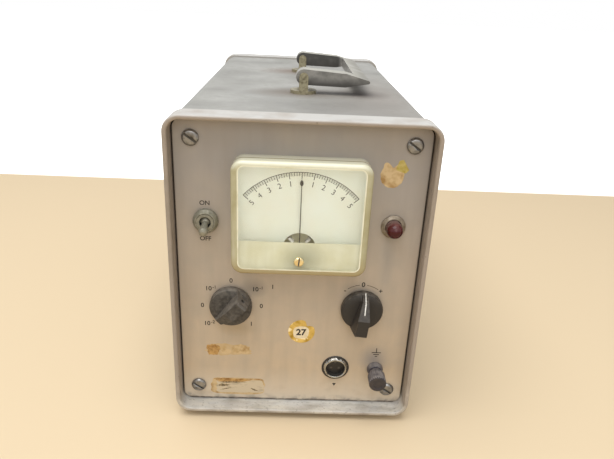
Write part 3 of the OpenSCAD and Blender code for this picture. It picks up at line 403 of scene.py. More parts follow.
def handle_vinyl():
    # Moulded vinyl: charcoal with a dull shine, dust over the front arm and wherever it faces up, painted shade
    # below the pivot, and pale patches on the grip's inner face that are dust and a painted highlight
    look = Finish("Moulded vinyl")
    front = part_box("handle_bail")[0].y
    axis = PIVOT["handle_fold"]
    arm = look.fade("Y", front + 14 * MM, front + 8 * MM)
    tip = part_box("handle_bail")[1].x
    # Painted shade: darker below the height of the pivot
    shade_below = look.fade("Z", axis.z + 1 * MM, axis.z - 5 * MM, 0.95)
    behind = look.fade("Y", front + 14 * MM, front + 20 * MM)
    # Pale patches on the grip's inner face: dust, and a painted highlight
    grip = look.fade("X", tip - 17 * MM, tip - 10 * MM, behind)
    rear = look.fade("Y", front + 60 * MM, front + 100 * MM)
    dust = look.settled_dust(12, 0.10, 0.55)
    look.paint(colours().handle_vinyl, [
        (look.patches(9, 0.40, 0.70, stretch=(0.4, 1, 1)), "77746D"),
        (look.patches(7, 0.20, 0.60, arm), "94918A"),
        (look.patches(9, 0.25, 0.60, rear), "45433F"),
        (shade_below, "3D3A36"),
        (look.patches(6, 0.10, 0.55, grip), "C4C1BA"),
        (dust, "ABA9A0"),
        (look.fade("X", tip - 14 * MM, tip - 4 * MM, 0.5), "65635D")])
    look.dulled(dust, 0.34, 0.85)
    look.grain_bump(1.4, 0.04)
    return look


def post_metal():
    # Cadmium plate gone dull: khaki metal with darker spots
    return two_tone("Dull cadmium plate", "9C9479", "6F6750", 2.5, (0.45, 0.72), (0.4, 0.65),
                    metallic=0.55)


def black_phenolic():
    # Moulded phenolic: brown-black with a low shine
    look = two_tone("Black phenolic", "1E1B19", "332E2A", 6, (0.35, 0.8), (0.36, 0.5))
    look.grain_bump(0.6, 0.01)
    return look


def clear_acrylic():
    # Polished acrylic: clear, with a faint haze of fine scratches
    look = two_tone("Polished acrylic", "FFFFFF", "FDFDF8", 18, (0.3, 0.8), (0.02, 0.07),
                    transmission_weight=1.0, ior=1.49)
    look.let_lamps_through()
    return look


def straw_acrylic():
    # Acrylic seen edge on: milky straw colour from years of light, paler on top as painted light from above,
    # deeper below, glossy on its corners
    look = Finish("Yellowed acrylic", transmission_weight=0.15, ior=1.49, coat_weight=0.6)
    centre = middle("meter_cover").z
    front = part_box("meter_cover")[0].y
    top = look.fade("Z", centre + 37 * MM, centre + 39 * MM)
    behind = look.fade("Y", front + 9.4 * MM, front + 8.8 * MM, top)
    wall_line = look.fade("Y", front + 7.2 * MM, front + 7.8 * MM, behind)
    clouds = look.patches(12, 0.35, 0.75)
    look.paint(linear("BFBA99"), [
        (clouds, "ADA780"),
        (look.patches(5, 0.45, 0.60, 0.5, (1, 1, 0.1)), "CFCBB0"),
        # Painted light: the top wall paler, as if lit from above
        (look.fade("Z", centre + 33 * MM, centre + 40 * MM), "EDECD4"),
        (wall_line, "A49E7C"),
        (look.fade("Z", centre - 25 * MM, centre - 40 * MM), "AB996C")])
    look.dulled(clouds, 0.1, 0.25)
    look.let_lamps_through()
    return look


def painted_highlight_edge():
    # Step round the clear window, painted with a cream line as a highlight
    return two_tone("Painted highlight edge", "F0EFDA", "D9D6B8", 9, (0.45, 0.75), (0.1, 0.2), coat_weight=0.6)


def frosted_apron():
    # Frosted back of the clear front: cream, cloudy, with a painted shadow where the movement stands behind it
    look = Finish("Frosted acrylic", roughness=0.55)
    pivot = PIVOT["needle_swing"]
    behind = (pivot.x + 3 * MM, pivot.y, pivot.z - 7 * MM)
    look.paint(linear("DCDBC2"), [
        (look.patches(10, 0.35, 0.75), "D3D0B0"),
        (look.patches(4, 0.35, 0.75, 0.35, (1, 1, 0.15)), "C9C6A6"),
        # Painted shadow of the movement behind the frosted apron
        (look.smudge(behind, (18, 60, 15), 0.9), "97977D")])
    return look


def dial_card():
    # Ivory enamel on sheet: even and matt, a little browner in clouds
    look = Finish("Dial enamel", roughness=0.6)
    look.paint(colours().dial_ivory, [(look.patches(25, 0.4, 0.8), "DEDDCB")])
    return look


def needle_black():
    # Matt black paint on drawn aluminium
    return two_tone("Needle paint", "1B1A18", "2A2825", 3, (0.4, 0.8), (0.5, 0.6))


def soft_iron():
    # Varnished iron: dark, thinly rusted in specks
    return two_tone("Varnished iron", "5F5C57", "6E5440", 2, (0.58, 0.72), (0.45, 0.6), metallic=0.7)


def bronze():
    # Turned brass: bright yellow metal with a light tarnish
    return two_tone("Turned brass", "EFDDAC", "D0AE70", 2.5, (0.45, 0.8), (0.25, 0.45), metallic=1.0)


def coil_copper():
    # Enamelled copper wire: fine turns, drawn 0.6 mm apart so that they show
    look = Finish("Enamelled copper", metallic=0.8, roughness=0.35)
    turns = add(look.tree, "ShaderNodeTexWave", {"Vector": look.coords, "Scale": spacing(0.6 * 2 * math.pi)},
                bands_direction="Z").outputs["Fac"]
    look.paint(linear("7C3E1C"), [(turns, "B8682F")])
    return look


def toggle_nickel():
    # Worn nickel on the switch: flat grey-green metal, dull from handling
    return two_tone("Worn nickel", "928F80", "7A7768", 2.2, (0.38, 0.72), (0.5, 0.7), metallic=0.4)


def knob_phenolic():
    # Moulded phenolic: near black with a satin shine, grey dust rubbed over its raised faces
    look = Finish("Knob phenolic", specular_ior_level=0.35)
    dusty = look.fade("X", PIVOT["zero_turn"].x, PIVOT["range_turn"].x, 0.75)
    cleaner = look.fade("X", PIVOT["range_turn"].x, PIVOT["zero_turn"].x, 0.55)
    film = look.patches(2.6, 0.25, 0.75, dusty)
    look.paint(colours().knob_phenolic, [
        (film, "6A645C"),
        (look.settled_dust(3, 0.25, 0.65), "7C756B"),
        (cleaner, "2F2B28")])
    look.dulled(film, 0.46, 0.8)
    look.grain_bump(0.8, 0.015)
    return look


def switch_plate():
    # Cadmium plated switch frames: soft yellow-grey metal
    return two_tone("Cadmium plate", "B2A88D", "8F8468", 5, (0.4, 0.75), (0.4, 0.5), metallic=0.8)


def lamp_plate():
    # Nickel bezel under a brown film of dust
    return two_tone("Dusty nickel", "A09484", "7D7160", 3, (0.35, 0.7), (0.45, 0.6), metallic=0.5)


def wafer_board():
    # Paper phenolic: brown with fibres, drawn coarse enough to show
    return two_tone("Paper phenolic", "8A6A3A", "6E5128", 1.5, (0.35, 0.75), (0.4, 0.5), (0.2, 1, 1))


def lens_red():
    # Deep red glass: wet shine below, a grey-pink film of dust on its upper side
    look = Finish("Red lens glass", ior=1.52, specular_ior_level=0.3)
    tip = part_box("lamp_lens")[0].y
    root = look.fade("Y", tip + 4 * MM, tip + 9 * MM, 0.8)
    dust = look.settled_dust(4, 0.25, 0.7)
    look.paint(colours().lens_red, [(dust, "744A46"), (root, "75605A")])
    look.dulled(dust, 0.12, 0.5)
    return look


def bulb_glass():
    # Blown glass of a small bulb, slightly smoked
    return two_tone("Bulb glass", "E9E4D6", "BDB5A2", 4, (0.4, 0.8), (0.05, 0.2), transmission_weight=0.6,
                    ior=1.5)


def input_chrome():
    # Bright plate on the turned socket: mirror-like with a few dull spots
    return two_tone("Bright plate", "ABA9A4", "7D786F", 3, (0.5, 0.8), (0.16, 0.38), metallic=1.0)


def post_plastic():
    # Moulded slate-grey plastic: satin, bleached unevenly, dust on top
    look = Finish("Slate plastic", roughness=0.5)
    look.paint(linear("423E45"), [
        (look.patches(4, 0.35, 0.75), "544F55"),
        (look.settled_dust(4, 0.25, 0.65), "8A8480")])
    look.grain_bump(0.7, 0.02)
    return look


def cap_end_painted_shade():
    # End of the binding post's cap, turned to the front: dark slate plastic as painted shade
    return two_tone("Slate plastic in painted shade", "302B2F", "453D39", 4, (0.4, 0.75), (0.45, 0.6))


def printed_ink():
    # Screen-printed ink: matt brown-black, thin in places
    return two_tone("Printed ink", "1E1916", "3C342D", 1.5, (0.45, 0.8), (0.6, 0.6))


def index_paint():
    # White paint, grubby, in a knob's groove and on the spring arms
    return two_tone("Index paint", "ECEAE3", "B9B5AA", 2, (0.45, 0.75), (0.5, 0.6))


def worn_index():
    # What is left of the paint in the range knob's groove: dust grey
    return two_tone("Worn index paint", "6B655E", "A39D93", 2.5, (0.45, 0.62), (0.7, 0.7))


def gold_foil():
    # Gilt foil: yellow mirror, wrinkled, so that it breaks into bright and dark facets, with near-white glints
    # painted on
    look = Finish("Gilt foil", metallic=1.0, roughness=0.28)
    look.paint(linear("E4CB80"), [
        (look.patches(6, 0.40, 0.70), "AE9140"),
        # Painted highlight: small near-white patches that stand for glints
        (look.patches(7, 0.58, 0.64), "FFF6D6")])
    look.grain_bump(3.0, 0.3)
    return look


def label_paper():
    # Aged paper: cream, fibrous, rubbed grey in streaks
    look = two_tone("Aged paper", "CFBFA3", "A99A80", 4, (0.56, 0.70), (0.85, 0.85), (0.35, 1, 1))
    look.grain_bump(0.5, 0.03)
    return look


def old_adhesive():
    # Dried adhesive: amber, blotched, satin
    look = two_tone("Dried adhesive", "D0B68A", "A5814C", 5, (0.42, 0.68), (0.5, 0.6))
    look.grain_bump(1.5, 0.05)
    return look


def burnt_adhesive():
    # Dried adhesive where it lay thickest: brown
    return two_tone("Browned adhesive", "C29A5C", "8E6430", 4, (0.40, 0.62), (0.5, 0.6))


def thin_adhesive():
    # Film of adhesive, almost as pale as the enamel under it
    return two_tone("Adhesive film", "C7AE86", "BFA170", 5, (0.42, 0.68), (0.5, 0.6))


def rubbed_dirt():
    # Dirt caught on torn paper: brown with grey flecks, matt
    return two_tone("Rubbed dirt", "6A5D48", "A08C68", 1.5, (0.42, 0.58), (0.85, 0.85))


def sticker_paper():
    # Pale centre of the seal: smooth cream paper
    return two_tone("Seal paper", "EBDDBE", "DCC9A2", 3, (0.45, 0.75), (0.6, 0.7))


def yellow_tape():
    # Old cellulose tape: dull yellow, wrinkled
    return two_tone("Old tape", "C2B169", "AA943C", 2.5, (0.35, 0.7), (0.4, 0.5))


# Finish of each material slot of the construction
SLOT_FINISHES = {maker.__name__: maker for maker in (
    frame_enamel, panel_enamel, cover_enamel, plated_steel, chassis_aluminium, nickel_screw, black_rubber,
    handle_vinyl, post_metal, black_phenolic, clear_acrylic, dial_card, needle_black, soft_iron, bronze,
    coil_copper, toggle_nickel, knob_phenolic, switch_plate, lamp_plate, wafer_board, lens_red, bulb_glass,
    input_chrome, post_plastic)}
NODE_SLOT = {part["node"]: part["material_slot"] for part in frame["record"]["subparts"]}
# Small pieces of the movement and the socket that look darker than their slot's finish
DARK_METAL = ("meter_bridge", "moving_coil", "zero_lever", "input_contacts")
made_materials = {}


def material_of(maker):
    """The material of a finish, made on first use."""
    if maker not in made_materials:
        made_materials[maker] = maker().material
    return made_materials[maker]


def slot_material(node):
    """The material of a solid's slot."""
    return material_of(SLOT_FINISHES[NODE_SLOT[node]])


# Meshes and pieces


def unique(items):
    """Items without repeats, in the same order each run."""
    return list(dict.fromkeys(items))


def solid_copy(node):
    """A merged copy of a solid's mesh, with its flat faces joined."""
    bm = bmesh.new()
    bm.from_mesh(frame["nodes"][node].data)
    bmesh.ops.remove_doubles(bm, verts=bm.verts, dist=TOUCHING)
    bmesh.ops.dissolve_limit(bm, angle_limit=FLAT, verts=bm.verts, edges=bm.edges)
    return bm


def soften(bm, width, segments=3, sharper_than=30, chosen=None):
    """Rounds the outward edges of a mesh that are sharper than an angle, or the chosen ones of them."""
    limit = math.radians(sharper_than)
    edges = [e for e in bm.edges if e.is_manifold and e.calc_face_angle_signed(0) > limit
             and (chosen is None or chosen(e))]
    bmesh.ops.bevel(bm, geom=edges, offset=width, offset_type="OFFSET", affect="EDGES", segments=segments,
                    profile=0.5, material=-1, clamp_overlap=True)


def make_piece(name, bm, finishes, body, replaces=()):
    """Turns a mesh into a piece that rides on a body, smooth but for its sharp edges."""
    mesh = bpy.data.meshes.new(name)
    bm.to_mesh(mesh)
    bm.free()
    for material in finishes:
        mesh.materials.append(material)
    mesh.shade_smooth()
    mesh.set_sharp_from_angle(angle=SMOOTH)
    piece = bpy.data.objects.new(name, mesh)
    bpy.context.scene.collection.objects.link(piece)
    piece.modifiers.new("Even shading", "WEIGHTED_NORMAL").keep_sharp = True
    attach(piece, body)
    if replaces:
        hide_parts(*replaces)


def body_of(node):
    """The body that a solid rides on."""
    return next(b for b, nodes in frame["record"]["behaviour"]["bodies"].items() if node in nodes)


def dress(node, bm, *others):
    """Makes a mesh stand for a solid, with its slot's finish and others for faces that ask for them."""
    finishes = [slot_material(node), *(material_of(maker) for maker in others)]
    make_piece(f"{node}_look", bm, finishes, body_of(node), (node,))


def softened_piece(node, width, segments=3, sharper_than=30, chosen=None):
    """A solid's look: its own shape with rounded edges and its slot's finish."""
    bm = solid_copy(node)
    soften(bm, width, segments, sharper_than, chosen)
    dress(node, bm)


def on_front(x, z, out=0.0):
    """Places a piece on the front panel: its x to the right, its y up, its z out of the panel."""
    return Matrix.Translation((x, FACE_Y - out, z)) @ Matrix.Rotation(math.pi / 2, 4, "X")


def lettering(bm, words, size, place, thickness, align="CENTER", bold=0.018):
    """Adds words or digits as thin solids on a place, their strokes bolder by a share of their size."""
    curve = bpy.data.curves.new("lettering", "FONT")
    curve.body = words
    curve.size = size
    curve.align_x = align
    curve.align_y = "CENTER"
    curve.extrude = thickness / 2
    curve.offset = size * bold
    text = bpy.data.objects.new("lettering", curve)
    mesh = text.to_mesh()
    mesh.transform(place @ Matrix.Translation((0, 0, thickness / 2)))
    bm.from_mesh(mesh)
    text.to_mesh_clear()
    bpy.data.objects.remove(text)
    bpy.data.curves.remove(curve)


def bar(bm, start, end, width, thickness, place):
    """Adds a thin straight bar between two points of a flat drawing."""
    start, end = Vector((*start, 0)), Vector((*end, 0))
    along = end - start
    turn = Matrix.Rotation(math.atan2(along.y, along.x), 4, "Z")
    scale = Matrix.Diagonal((along.length, width, thickness, 1))
    middle_at = Matrix.Translation((start + end) / 2 + Vector((0, 0, thickness / 2)))
    bmesh.ops.create_cube(bm, size=1, matrix=place @ middle_at @ turn @ scale)


def arc_band(bm, radius, width, from_angle, to_angle, thickness, place, steps):
    """Adds a thin band along an arc, its angles counted from straight up to the right."""
    earlier = set(bm.verts)
    corners = [(radius, 0), (radius - width, 0), (radius - width, thickness), (radius, thickness)]
    start = Matrix.Rotation(math.pi / 2 - from_angle, 4, "Z")
    first = bm.faces.new([bm.verts.new(start @ Vector((r, 0, h))) for r, h in corners])
    bmesh.ops.spin(bm, geom=[first], cent=(0, 0, 0), axis=(0, 0, 1), dvec=(0, 0, 0),
                   angle=from_angle - to_angle, steps=steps, use_merge=False, use_duplicate=False)
    made = [v for v in bm.verts if v not in earlier]
    bmesh.ops.transform(bm, matrix=place, verts=made)
    bmesh.ops.recalc_face_normals(bm, faces=unique(f for v in made for f in v.link_faces))


def sheet_shape(bm, outline, thickness, place):
    """Adds a thin closed sheet with a drawn outline."""
    verts = [bm.verts.new((x, y, 0)) for x, y in outline]
    face = bm.faces.new(verts)
    grown = bmesh.ops.extrude_face_region(bm, geom=[face])["geom"]
    top = [v for v in grown if isinstance(v, bmesh.types.BMVert)]
    bmesh.ops.translate(bm, vec=(0, 0, thickness), verts=top)
    bmesh.ops.recalc_face_normals(bm, faces=unique(f for v in verts + top for f in v.link_faces))
    bmesh.ops.transform(bm, matrix=place, verts=verts + top)


def sheet_piece(name, outline, thickness, place, maker):
    """A piece on the case that is one thin sheet."""
    bm = bmesh.new()
    sheet_shape(bm, outline, thickness, place)
    make_piece(name, bm, [material_of(maker)], "case")


def print_piece(name, bm):
    """A piece on the case that is all printed ink."""
    make_piece(name, bm, [material_of(printed_ink)], "case")


def ragged(width, height, power, waves, count=96):
    """Outline of a worn patch: a rounded box whose edge wavers by waves of times, size and shift."""
    points = []
    for i in range(count):
        a = 2 * math.pi * i / count
        waver = 1 + sum(size * math.sin(times * a + shift) for times, size, shift in waves)
        c, s = math.cos(a), math.sin(a)
        reach = (abs(c) ** power + abs(s) ** power) ** (-1 / power)
        points.append((width / 2 * reach * c * waver, height / 2 * reach * s * waver))
    return points


# Operators


class DETECTOR_OT_stage(bpy.types.Operator):
    """Pale floor, soft light and the camera"""

    bl_idname = "detector.stage"
    bl_label = "Stage"

    def execute(self, context):
        stage = context.scene.detector_stage
        self.floor(context, stage)
        self.light(context, stage)
        self.camera(context, stage)
        context.scene.view_settings.view_transform = "Standard"
        return {"FINISHED"}

    def floor(self, context, stage):
        """A wide floor, white from some way behind the instrument."""
        half_size, soft_edge = 6.0, 0.004
        bm = bmesh.new()
        bmesh.ops.create_grid(bm, x_segments=1, y_segments=1, size=half_size)
        mesh = bpy.data.meshes.new("floor")
        bm.to_mesh(mesh)
        bm.free()
        look = Finish("Floor paper", roughness=0.9, emission_color=linear("FFFFFF"))
        far = look.fade("Y", stage.wall_y - soft_edge, stage.wall_y + soft_edge)
        look.paint(colours().floor, [(far, "FAFAF8")])
        look.tree.links.new(far, look.shader.inputs["Emission Strength"])
        mesh.materials.append(look.material)
        floor = bpy.data.objects.new("floor", mesh)
        context.scene.collection.objects.link(floor)

    def light(self, context, stage):
        """An even sky that looks white, and two wide lamps."""
        world = bpy.data.worlds.new("Studio sky")
        world.use_nodes = True
        tree = world.node_tree
        sky = tree.nodes["Background"]
        sky.inputs["Color"].default_value = linear("FFFFFF")
        sky.inputs["Strength"].default_value = stage.world_strength
        plain = add(tree, "ShaderNodeBackground", {"Color": linear("FFFFFF"), "Strength": 1.0}).outputs[0]
        rays = add(tree, "ShaderNodeLightPath").outputs
        seen = add(tree, "ShaderNodeMath", {0: rays["Is Camera Ray"], 1: rays["Is Glossy Ray"]},
                   operation="MAXIMUM").outputs[0]
        both = add(tree, "ShaderNodeMixShader", {0: seen, 1: sky.outputs[0], 2: plain}).outputs[0]
        tree.links.new(both, tree.nodes["World Output"].inputs["Surface"])
        context.scene.world = world
        for name, place, target, width, power in (
                ("ceiling_light", (-0.3, -0.45, 1.9), (0.0, -0.1, 0.1), 1.8, stage.ceiling_power),
                ("front_light", (0.3, -2.0, 1.3), (0.0, 0.0, 0.1), 1.6, stage.front_power)):
            data = bpy.data.lights.new(name, "AREA")
            data.shape = "DISK"
            data.size = width
            data.energy = power
            lamp = bpy.data.objects.new(name, data)
            lamp.location = place
            lamp.rotation_euler = (Vector(target) - Vector(place)).to_track_quat("-Z", "Y").to_euler()
            context.scene.collection.objects.link(lamp)

    def camera(self, context, stage):
        """The photograph's viewpoint."""
        data = bpy.data.cameras.new("camera")
        data.lens = stage.lens
        data.sensor_width = 36.0
        data.clip_start = 0.01
        place = Vector((-6.793, -522.737, 308.118)) * MM
        pitch, yaw, roll = math.radians(22.962), math.radians(-1.872), math.radians(2.717)
        turn = (Matrix.Rotation(roll, 3, "Z") @ Matrix.Rotation(pitch, 3, "X")
                @ Matrix.Rotation(yaw, 3, "Y") @ Matrix.Rotation(math.pi / 2, 3, "X"))
        aim = (Matrix.Diagonal((1, -1, -1)) @ turn).transposed()
        camera = bpy.data.objects.new("camera", data)
        camera.matrix_world = Matrix.Translation(place) @ aim.to_4x4()
        context.scene.collection.objects.link(camera)
        context.scene.camera = camera


class DETECTOR_OT_finishes(bpy.types.Operator):
    """Gives every solid of the construction its slot's finish"""

    bl_idname = "detector.finishes"
    bl_label = "Finishes"

    def execute(self, context):
        for name, solid in frame["nodes"].items():
            material = material_of(soft_iron) if name in DARK_METAL else slot_material(name)
            if not solid.material_slots:
                solid.data.materials.append(material)
            for slot in solid.material_slots:
                slot.material = material
        return {"FINISHED"}


class DETECTOR_OT_case(bpy.types.Operator):
    """End frames with rounded lips, panel screws and feet"""

    bl_idname = "detector.case"
    bl_label = "Case"

    def execute(self, context):
        lip = context.scene.detector_sizes.lip_round
        self.end_frame("front_frame", FRONT_Y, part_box("front_panel"), lip)
        self.end_frame("rear_frame", REAR_Y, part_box("rear_panel"), lip)
        self.screws()
        softened_piece("feet", 0.8 * MM)
        return {"FINISHED"}

    def end_frame(self, node, face_y, panel, lip):
        """A frame with a round lip, a soft edge next to the cover, and grime with painted shade where its panel
        lies.
        """
        low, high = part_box(node)
        depth, corner, wall = 20 * MM, 12 * MM, 4 * MM
        slack = 0.05 * MM

        def on_lip(edge):
            return all(abs(v.co.y - face_y) < slack for v in edge.verts)

        def next_to_cover(spot):
            from_side = min(spot.x - low.x, high.x - spot.x)
            from_end = min(spot.z - low.z, high.z - spot.z)
            from_back = min(abs(abs(spot.y - end.y) - depth) for end in (low, high))
            outside = from_side < corner or from_end < 1 * MM
            return outside and min(from_side, from_end) < wall and from_back < 2 * slack

        def at_cover(edge):
            first, last = (v.co for v in edge.verts)
            return abs(first.y - last.y) < slack and next_to_cover(first) and next_to_cover(last)

        bm = solid_copy(node)
        soften(bm, lip, 4, chosen=on_lip)
        soften(bm, 0.6 * MM, 2, 50, at_cover)
        # Faces against the panel take the near-black finish: grime, and painted shade in the gap
        for part in bm.faces:
            from_panel = min(abs(part.calc_center_median().y - side.y) for side in panel)
            part.material_index = int(abs(part.normal.y) > 0.9 and from_panel < 0.3 * MM)
        dress(node, bm, grime_and_gap_shade)

    def screws(self):
        """Panel screws with soft crowns and dirt in their slots."""
        low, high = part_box("panel_screws")
        head_radius, crown_radius = 5.6 * MM, 4.3 * MM
        slot_reach, slot_floor, slot_end = 4.9 * MM, 0.75 * MM, 2.2 * MM

        def off_axis(spot):
            off_x = min(abs(spot.x - low.x - head_radius), abs(high.x - head_radius - spot.x))
            off_z = min(abs(spot.z - low.z - head_radius), abs(high.z - head_radius - spot.z))
            return math.hypot(off_x, off_z)

        def on_crown(edge):
            first, last = (off_axis(v.co) for v in edge.verts)
            return first > crown_radius and abs(first - last) < 0.02 * MM

        bm = solid_copy("panel_screws")
        soften(bm, 0.45 * MM, 3, 25, on_crown)
        bm.normal_update()
        for part in bm.faces:
            spot = part.calc_center_median()
            deep = min(spot.y - low.y, high.y - spot.y)
            in_slot = abs(part.normal.y) < 0.2 or deep > slot_floor
            part.material_index = int(in_slot and deep < slot_end and off_axis(spot) < slot_reach)
        dress("panel_screws", bm, slot_dirt)


class DETECTOR_OT_handle(bpy.types.Operator):
    """Folding handle with moulded edges, its posts and pins"""

    bl_idname = "detector.handle"
    bl_label = "Handle"

    def execute(self, context):
        axis, pin_room = PIVOT["handle_fold"], 3.5 * MM

        def clear_of_pin(edge):
            return all(math.hypot(v.co.x - axis.x, v.co.z - axis.z) > pin_room for v in edge.verts)

        self.bail(context.scene.detector_sizes.handle_round, axis, clear_of_pin)
        softened_piece("handle_posts", 0.5 * MM, 2, chosen=clear_of_pin)
        bm = solid_copy("handle_pins")
        soften(bm, 0.35 * MM, 2)
        make_piece("handle_pins_look", bm, [material_of(post_metal)], "case", ("handle_pins",))
        return {"FINISHED"}

    def bail(self, width, axis, clear_of_pin):
        """The bail's look: its upper long edges well rounded, its other edges a little."""
        slope = 0.09

        def upper(edge):
            first, last = (v.co for v in edge.verts)
            along = abs((first - last).normalized().y) < 0.5
            above = all(spot.z > axis.z - slope * spot.x for spot in (first, last))
            return clear_of_pin(edge) and along and above

        bm = solid_copy("handle_bail")
        soften(bm, width, 6, 60, upper)
        bm.normal_update()
        soften(bm, 0.9 * MM, 2, 35, clear_of_pin)
        dress("handle_bail", bm)


class DETECTOR_OT_meter(bpy.types.Operator):
    """Clear front with its frosted apron, the dial's scale and the zero screw"""

    bl_idname = "detector.meter"
    bl_label = "Meter"

    def execute(self, context):
        sizes, pivot = context.scene.detector_sizes, PIVOT["needle_swing"]
        on_dial = Matrix.Translation((pivot.x, DIAL_Y, pivot.z)) @ Matrix.Rotation(math.pi / 2, 4, "X")
        self.front(sizes)
        self.scale(sizes, on_dial)
        self.spring_arms(on_dial)
        self.zero_screw()
        return {"FINISHED"}

    def front(self, sizes):
        """A rounded box, hollow from behind, with its window, its apron and the hole for the screw."""
        low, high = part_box("meter_cover")
        width, height, deep = high.x - low.x, high.z - low.z, high.y - low.y
        centre_x, centre_z = (low.x + high.x) / 2, (low.z + high.z) / 2
        wall, rounding = sizes.meter_wall, sizes.meter_round
        corner, inner_round, hole_radius = 8 * MM, 0.8 * MM, 2.04 * MM
        bm = bmesh.new()
        corners = [(-1, -1), (1, -1), (1, 1), (-1, 1)]
        bm.faces.new([bm.verts.new((x * width / 2, y * height / 2, 0)) for x, y in corners])
        bmesh.ops.bevel(bm, geom=list(bm.verts), offset=corner, offset_type="OFFSET", affect="VERTICES",
                        segments=8, profile=0.5, material=-1)
        back = bm.faces[:][0]
        shell = bmesh.ops.extrude_face_region(bm, geom=[back], use_keep_orig=True)["geom"]
        front = self.carried(bm, shell, deep - rounding, rounding)
        bmesh.ops.inset_region(bm, faces=[back], thickness=wall, use_even_offset=True)
        hollow = bmesh.ops.extrude_face_region(bm, geom=[back])["geom"]
        inner = self.carried(bm, hollow, deep - wall - inner_round, inner_round)
        pane = self.window(bm, front)
        self.drill(bm, (pane, inner), PIVOT["meter_zero_turn"].z - centre_z, hole_radius)
        bmesh.ops.remove_doubles(bm, verts=bm.verts, dist=TOUCHING)
        bmesh.ops.recalc_face_normals(bm, faces=bm.faces)
        self.frost(bm, width / 2 - wall, height / 2 - wall, deep, wall, sizes.apron_drop)
        bmesh.ops.transform(bm, matrix=on_front(centre_x, centre_z), verts=bm.verts)
        finishes = [material_of(maker) for maker in (
            clear_acrylic, frosted_apron, straw_acrylic, painted_highlight_edge)]
        make_piece("meter_front", bm, finishes, "case", ("meter_cover",))

    def carried(self, bm, grown, onward, radius, steps=5):
        """Carries an extruded face onwards, then in steps that turn its edge through a quarter circle."""
        face = next(f for f in grown if isinstance(f, bmesh.types.BMFace))
        bmesh.ops.translate(bm, vec=(0, 0, onward), verts=face.verts)
        for i in range(steps):
            a, b = math.pi / 2 * i / steps, math.pi / 2 * (i + 1) / steps
            inward = radius * (math.cos(a) - math.cos(b))
            rise = radius * (math.sin(b) - math.sin(a))
            bmesh.ops.inset_region(bm, faces=[face], thickness=inward, use_even_offset=True)
            bmesh.ops.translate(bm, vec=(0, 0, rise), verts=face.verts)
        return face

    def window(self, bm, front):
        """Cuts the clear window out of the front face, with a straw rim and a painted highlight line round it."""
        level = front.verts[0].co.z
        right = max(v.co.x for v in front.verts) - 1.8 * MM
        top = max(v.co.y for v in front.verts) - 0.3 * MM
        bottom = min(v.co.y for v in front.verts) + 1.5 * MM
        corner, edge_width = 4.5 * MM, 0.8 * MM
        around = list(front.edges)
        bmesh.ops.delete(bm, geom=[front], context="FACES_ONLY")
        corners = [(-right, bottom), (right, bottom), (right, top), (-right, top)]
        verts = [bm.verts.new((x, y, level)) for x, y in corners]
        bm.faces.new(verts)
        cut = bmesh.ops.bevel(bm, geom=verts, offset=corner, offset_type="OFFSET", affect="VERTICES",
                              segments=6, profile=0.5, material=-1)
        pane = cut["verts"][0].link_faces[0]
        rim = bmesh.ops.triangle_fill(bm, edges=around + list(pane.edges), use_beauty=True,
                                      use_dissolve=False)
        for item in rim["geom"]:
            if isinstance(item, bmesh.types.BMFace):
                item.material_index = STRAW
        # A cream line painted round the window as a highlight
        edge = bmesh.ops.inset_region(bm, faces=[pane], thickness=edge_width, use_even_offset=True)
        for face in edge["faces"]:
            face.material_index = PAINTED_HIGHLIGHT
        return pane

    def drill(self, bm, walls, height, radius):
        """Opens a round hole through two faces, with a wall between them."""
        rings = []
        for face in walls:
            place = Matrix.Translation((0, height, face.verts[0].co.z))
            around = list(face.edges)
            bmesh.ops.delete(bm, geom=[face], context="FACES_ONLY")
            ring = bmesh.ops.create_circle(bm, segments=32, radius=radius, matrix=place)["verts"]
            edges = unique(e for v in ring for e in v.link_edges)
            rings.extend(edges)
            bmesh.ops.triangle_fill(bm, edges=around + edges, use_beauty=True, use_dissolve=False)
        bmesh.ops.bridge_loops(bm, edges=rings)

    def frost(self, bm, half_width, half_height, deep, wall, drop):
        """Marks the frosted apron on the inside of the front, and the straw walls round it."""
        slack = 0.02 * MM
        pane = [f for f in bm.faces if abs(f.calc_center_median().z - (deep - wall)) < slack]
        geom = unique(item for f in pane for item in (f, *f.edges, *f.verts))
        bmesh.ops.bisect_plane(bm, geom=geom, dist=TOUCHING, plane_co=(0, -drop, 0), plane_no=(0, 1, 0))
        for face in bm.faces:
            spot = face.calc_center_median()
            inside = (spot.z < deep - wall + slack and abs(spot.x) < half_width + slack
                      and abs(spot.y) < half_height + slack)
            if inside and spot.y < -drop:
                face.material_index = APRON
            elif spot.z < deep - slack and not (inside and spot.z > deep - wall - slack):
                face.material_index = STRAW

    def scale(self, sizes, on_dial):
        """Ticks, digits and an arc on the dial."""
        thick, radius, half = sizes.print_height, sizes.scale_radius, sizes.scale_angle
        divisions, fine = 5, 10
        bm = bmesh.new()
        for i in range(-divisions * fine, divisions * fine + 1):
            a = half * i / (divisions * fine)
            ray = Vector((math.sin(a), math.cos(a)))
            whole = i % fine == 0
            # Every second fine tick is bolder than printed, so that the divisions show
            width = 0.5 if whole else 0.42 if i % 2 == 0 else 0.14
            length = 4.5 if whole else 2.7
            bar(bm, ray * radius, ray * (radius - length * MM), width * MM, thick, on_dial)
            if whole:
                turn = Matrix.Rotation(-a, 4, "Z")
                at = Matrix.Translation((*(ray * sizes.digit_radius), 0))
                lettering(bm, str(abs(i) // fine), sizes.digit_size, on_dial @ at @ turn, thick, bold=0.0)
        arc_band(bm, radius + 0.1 * MM, 0.4 * MM, -half, half, thick, on_dial, 64)
        print_piece("dial_scale", bm)

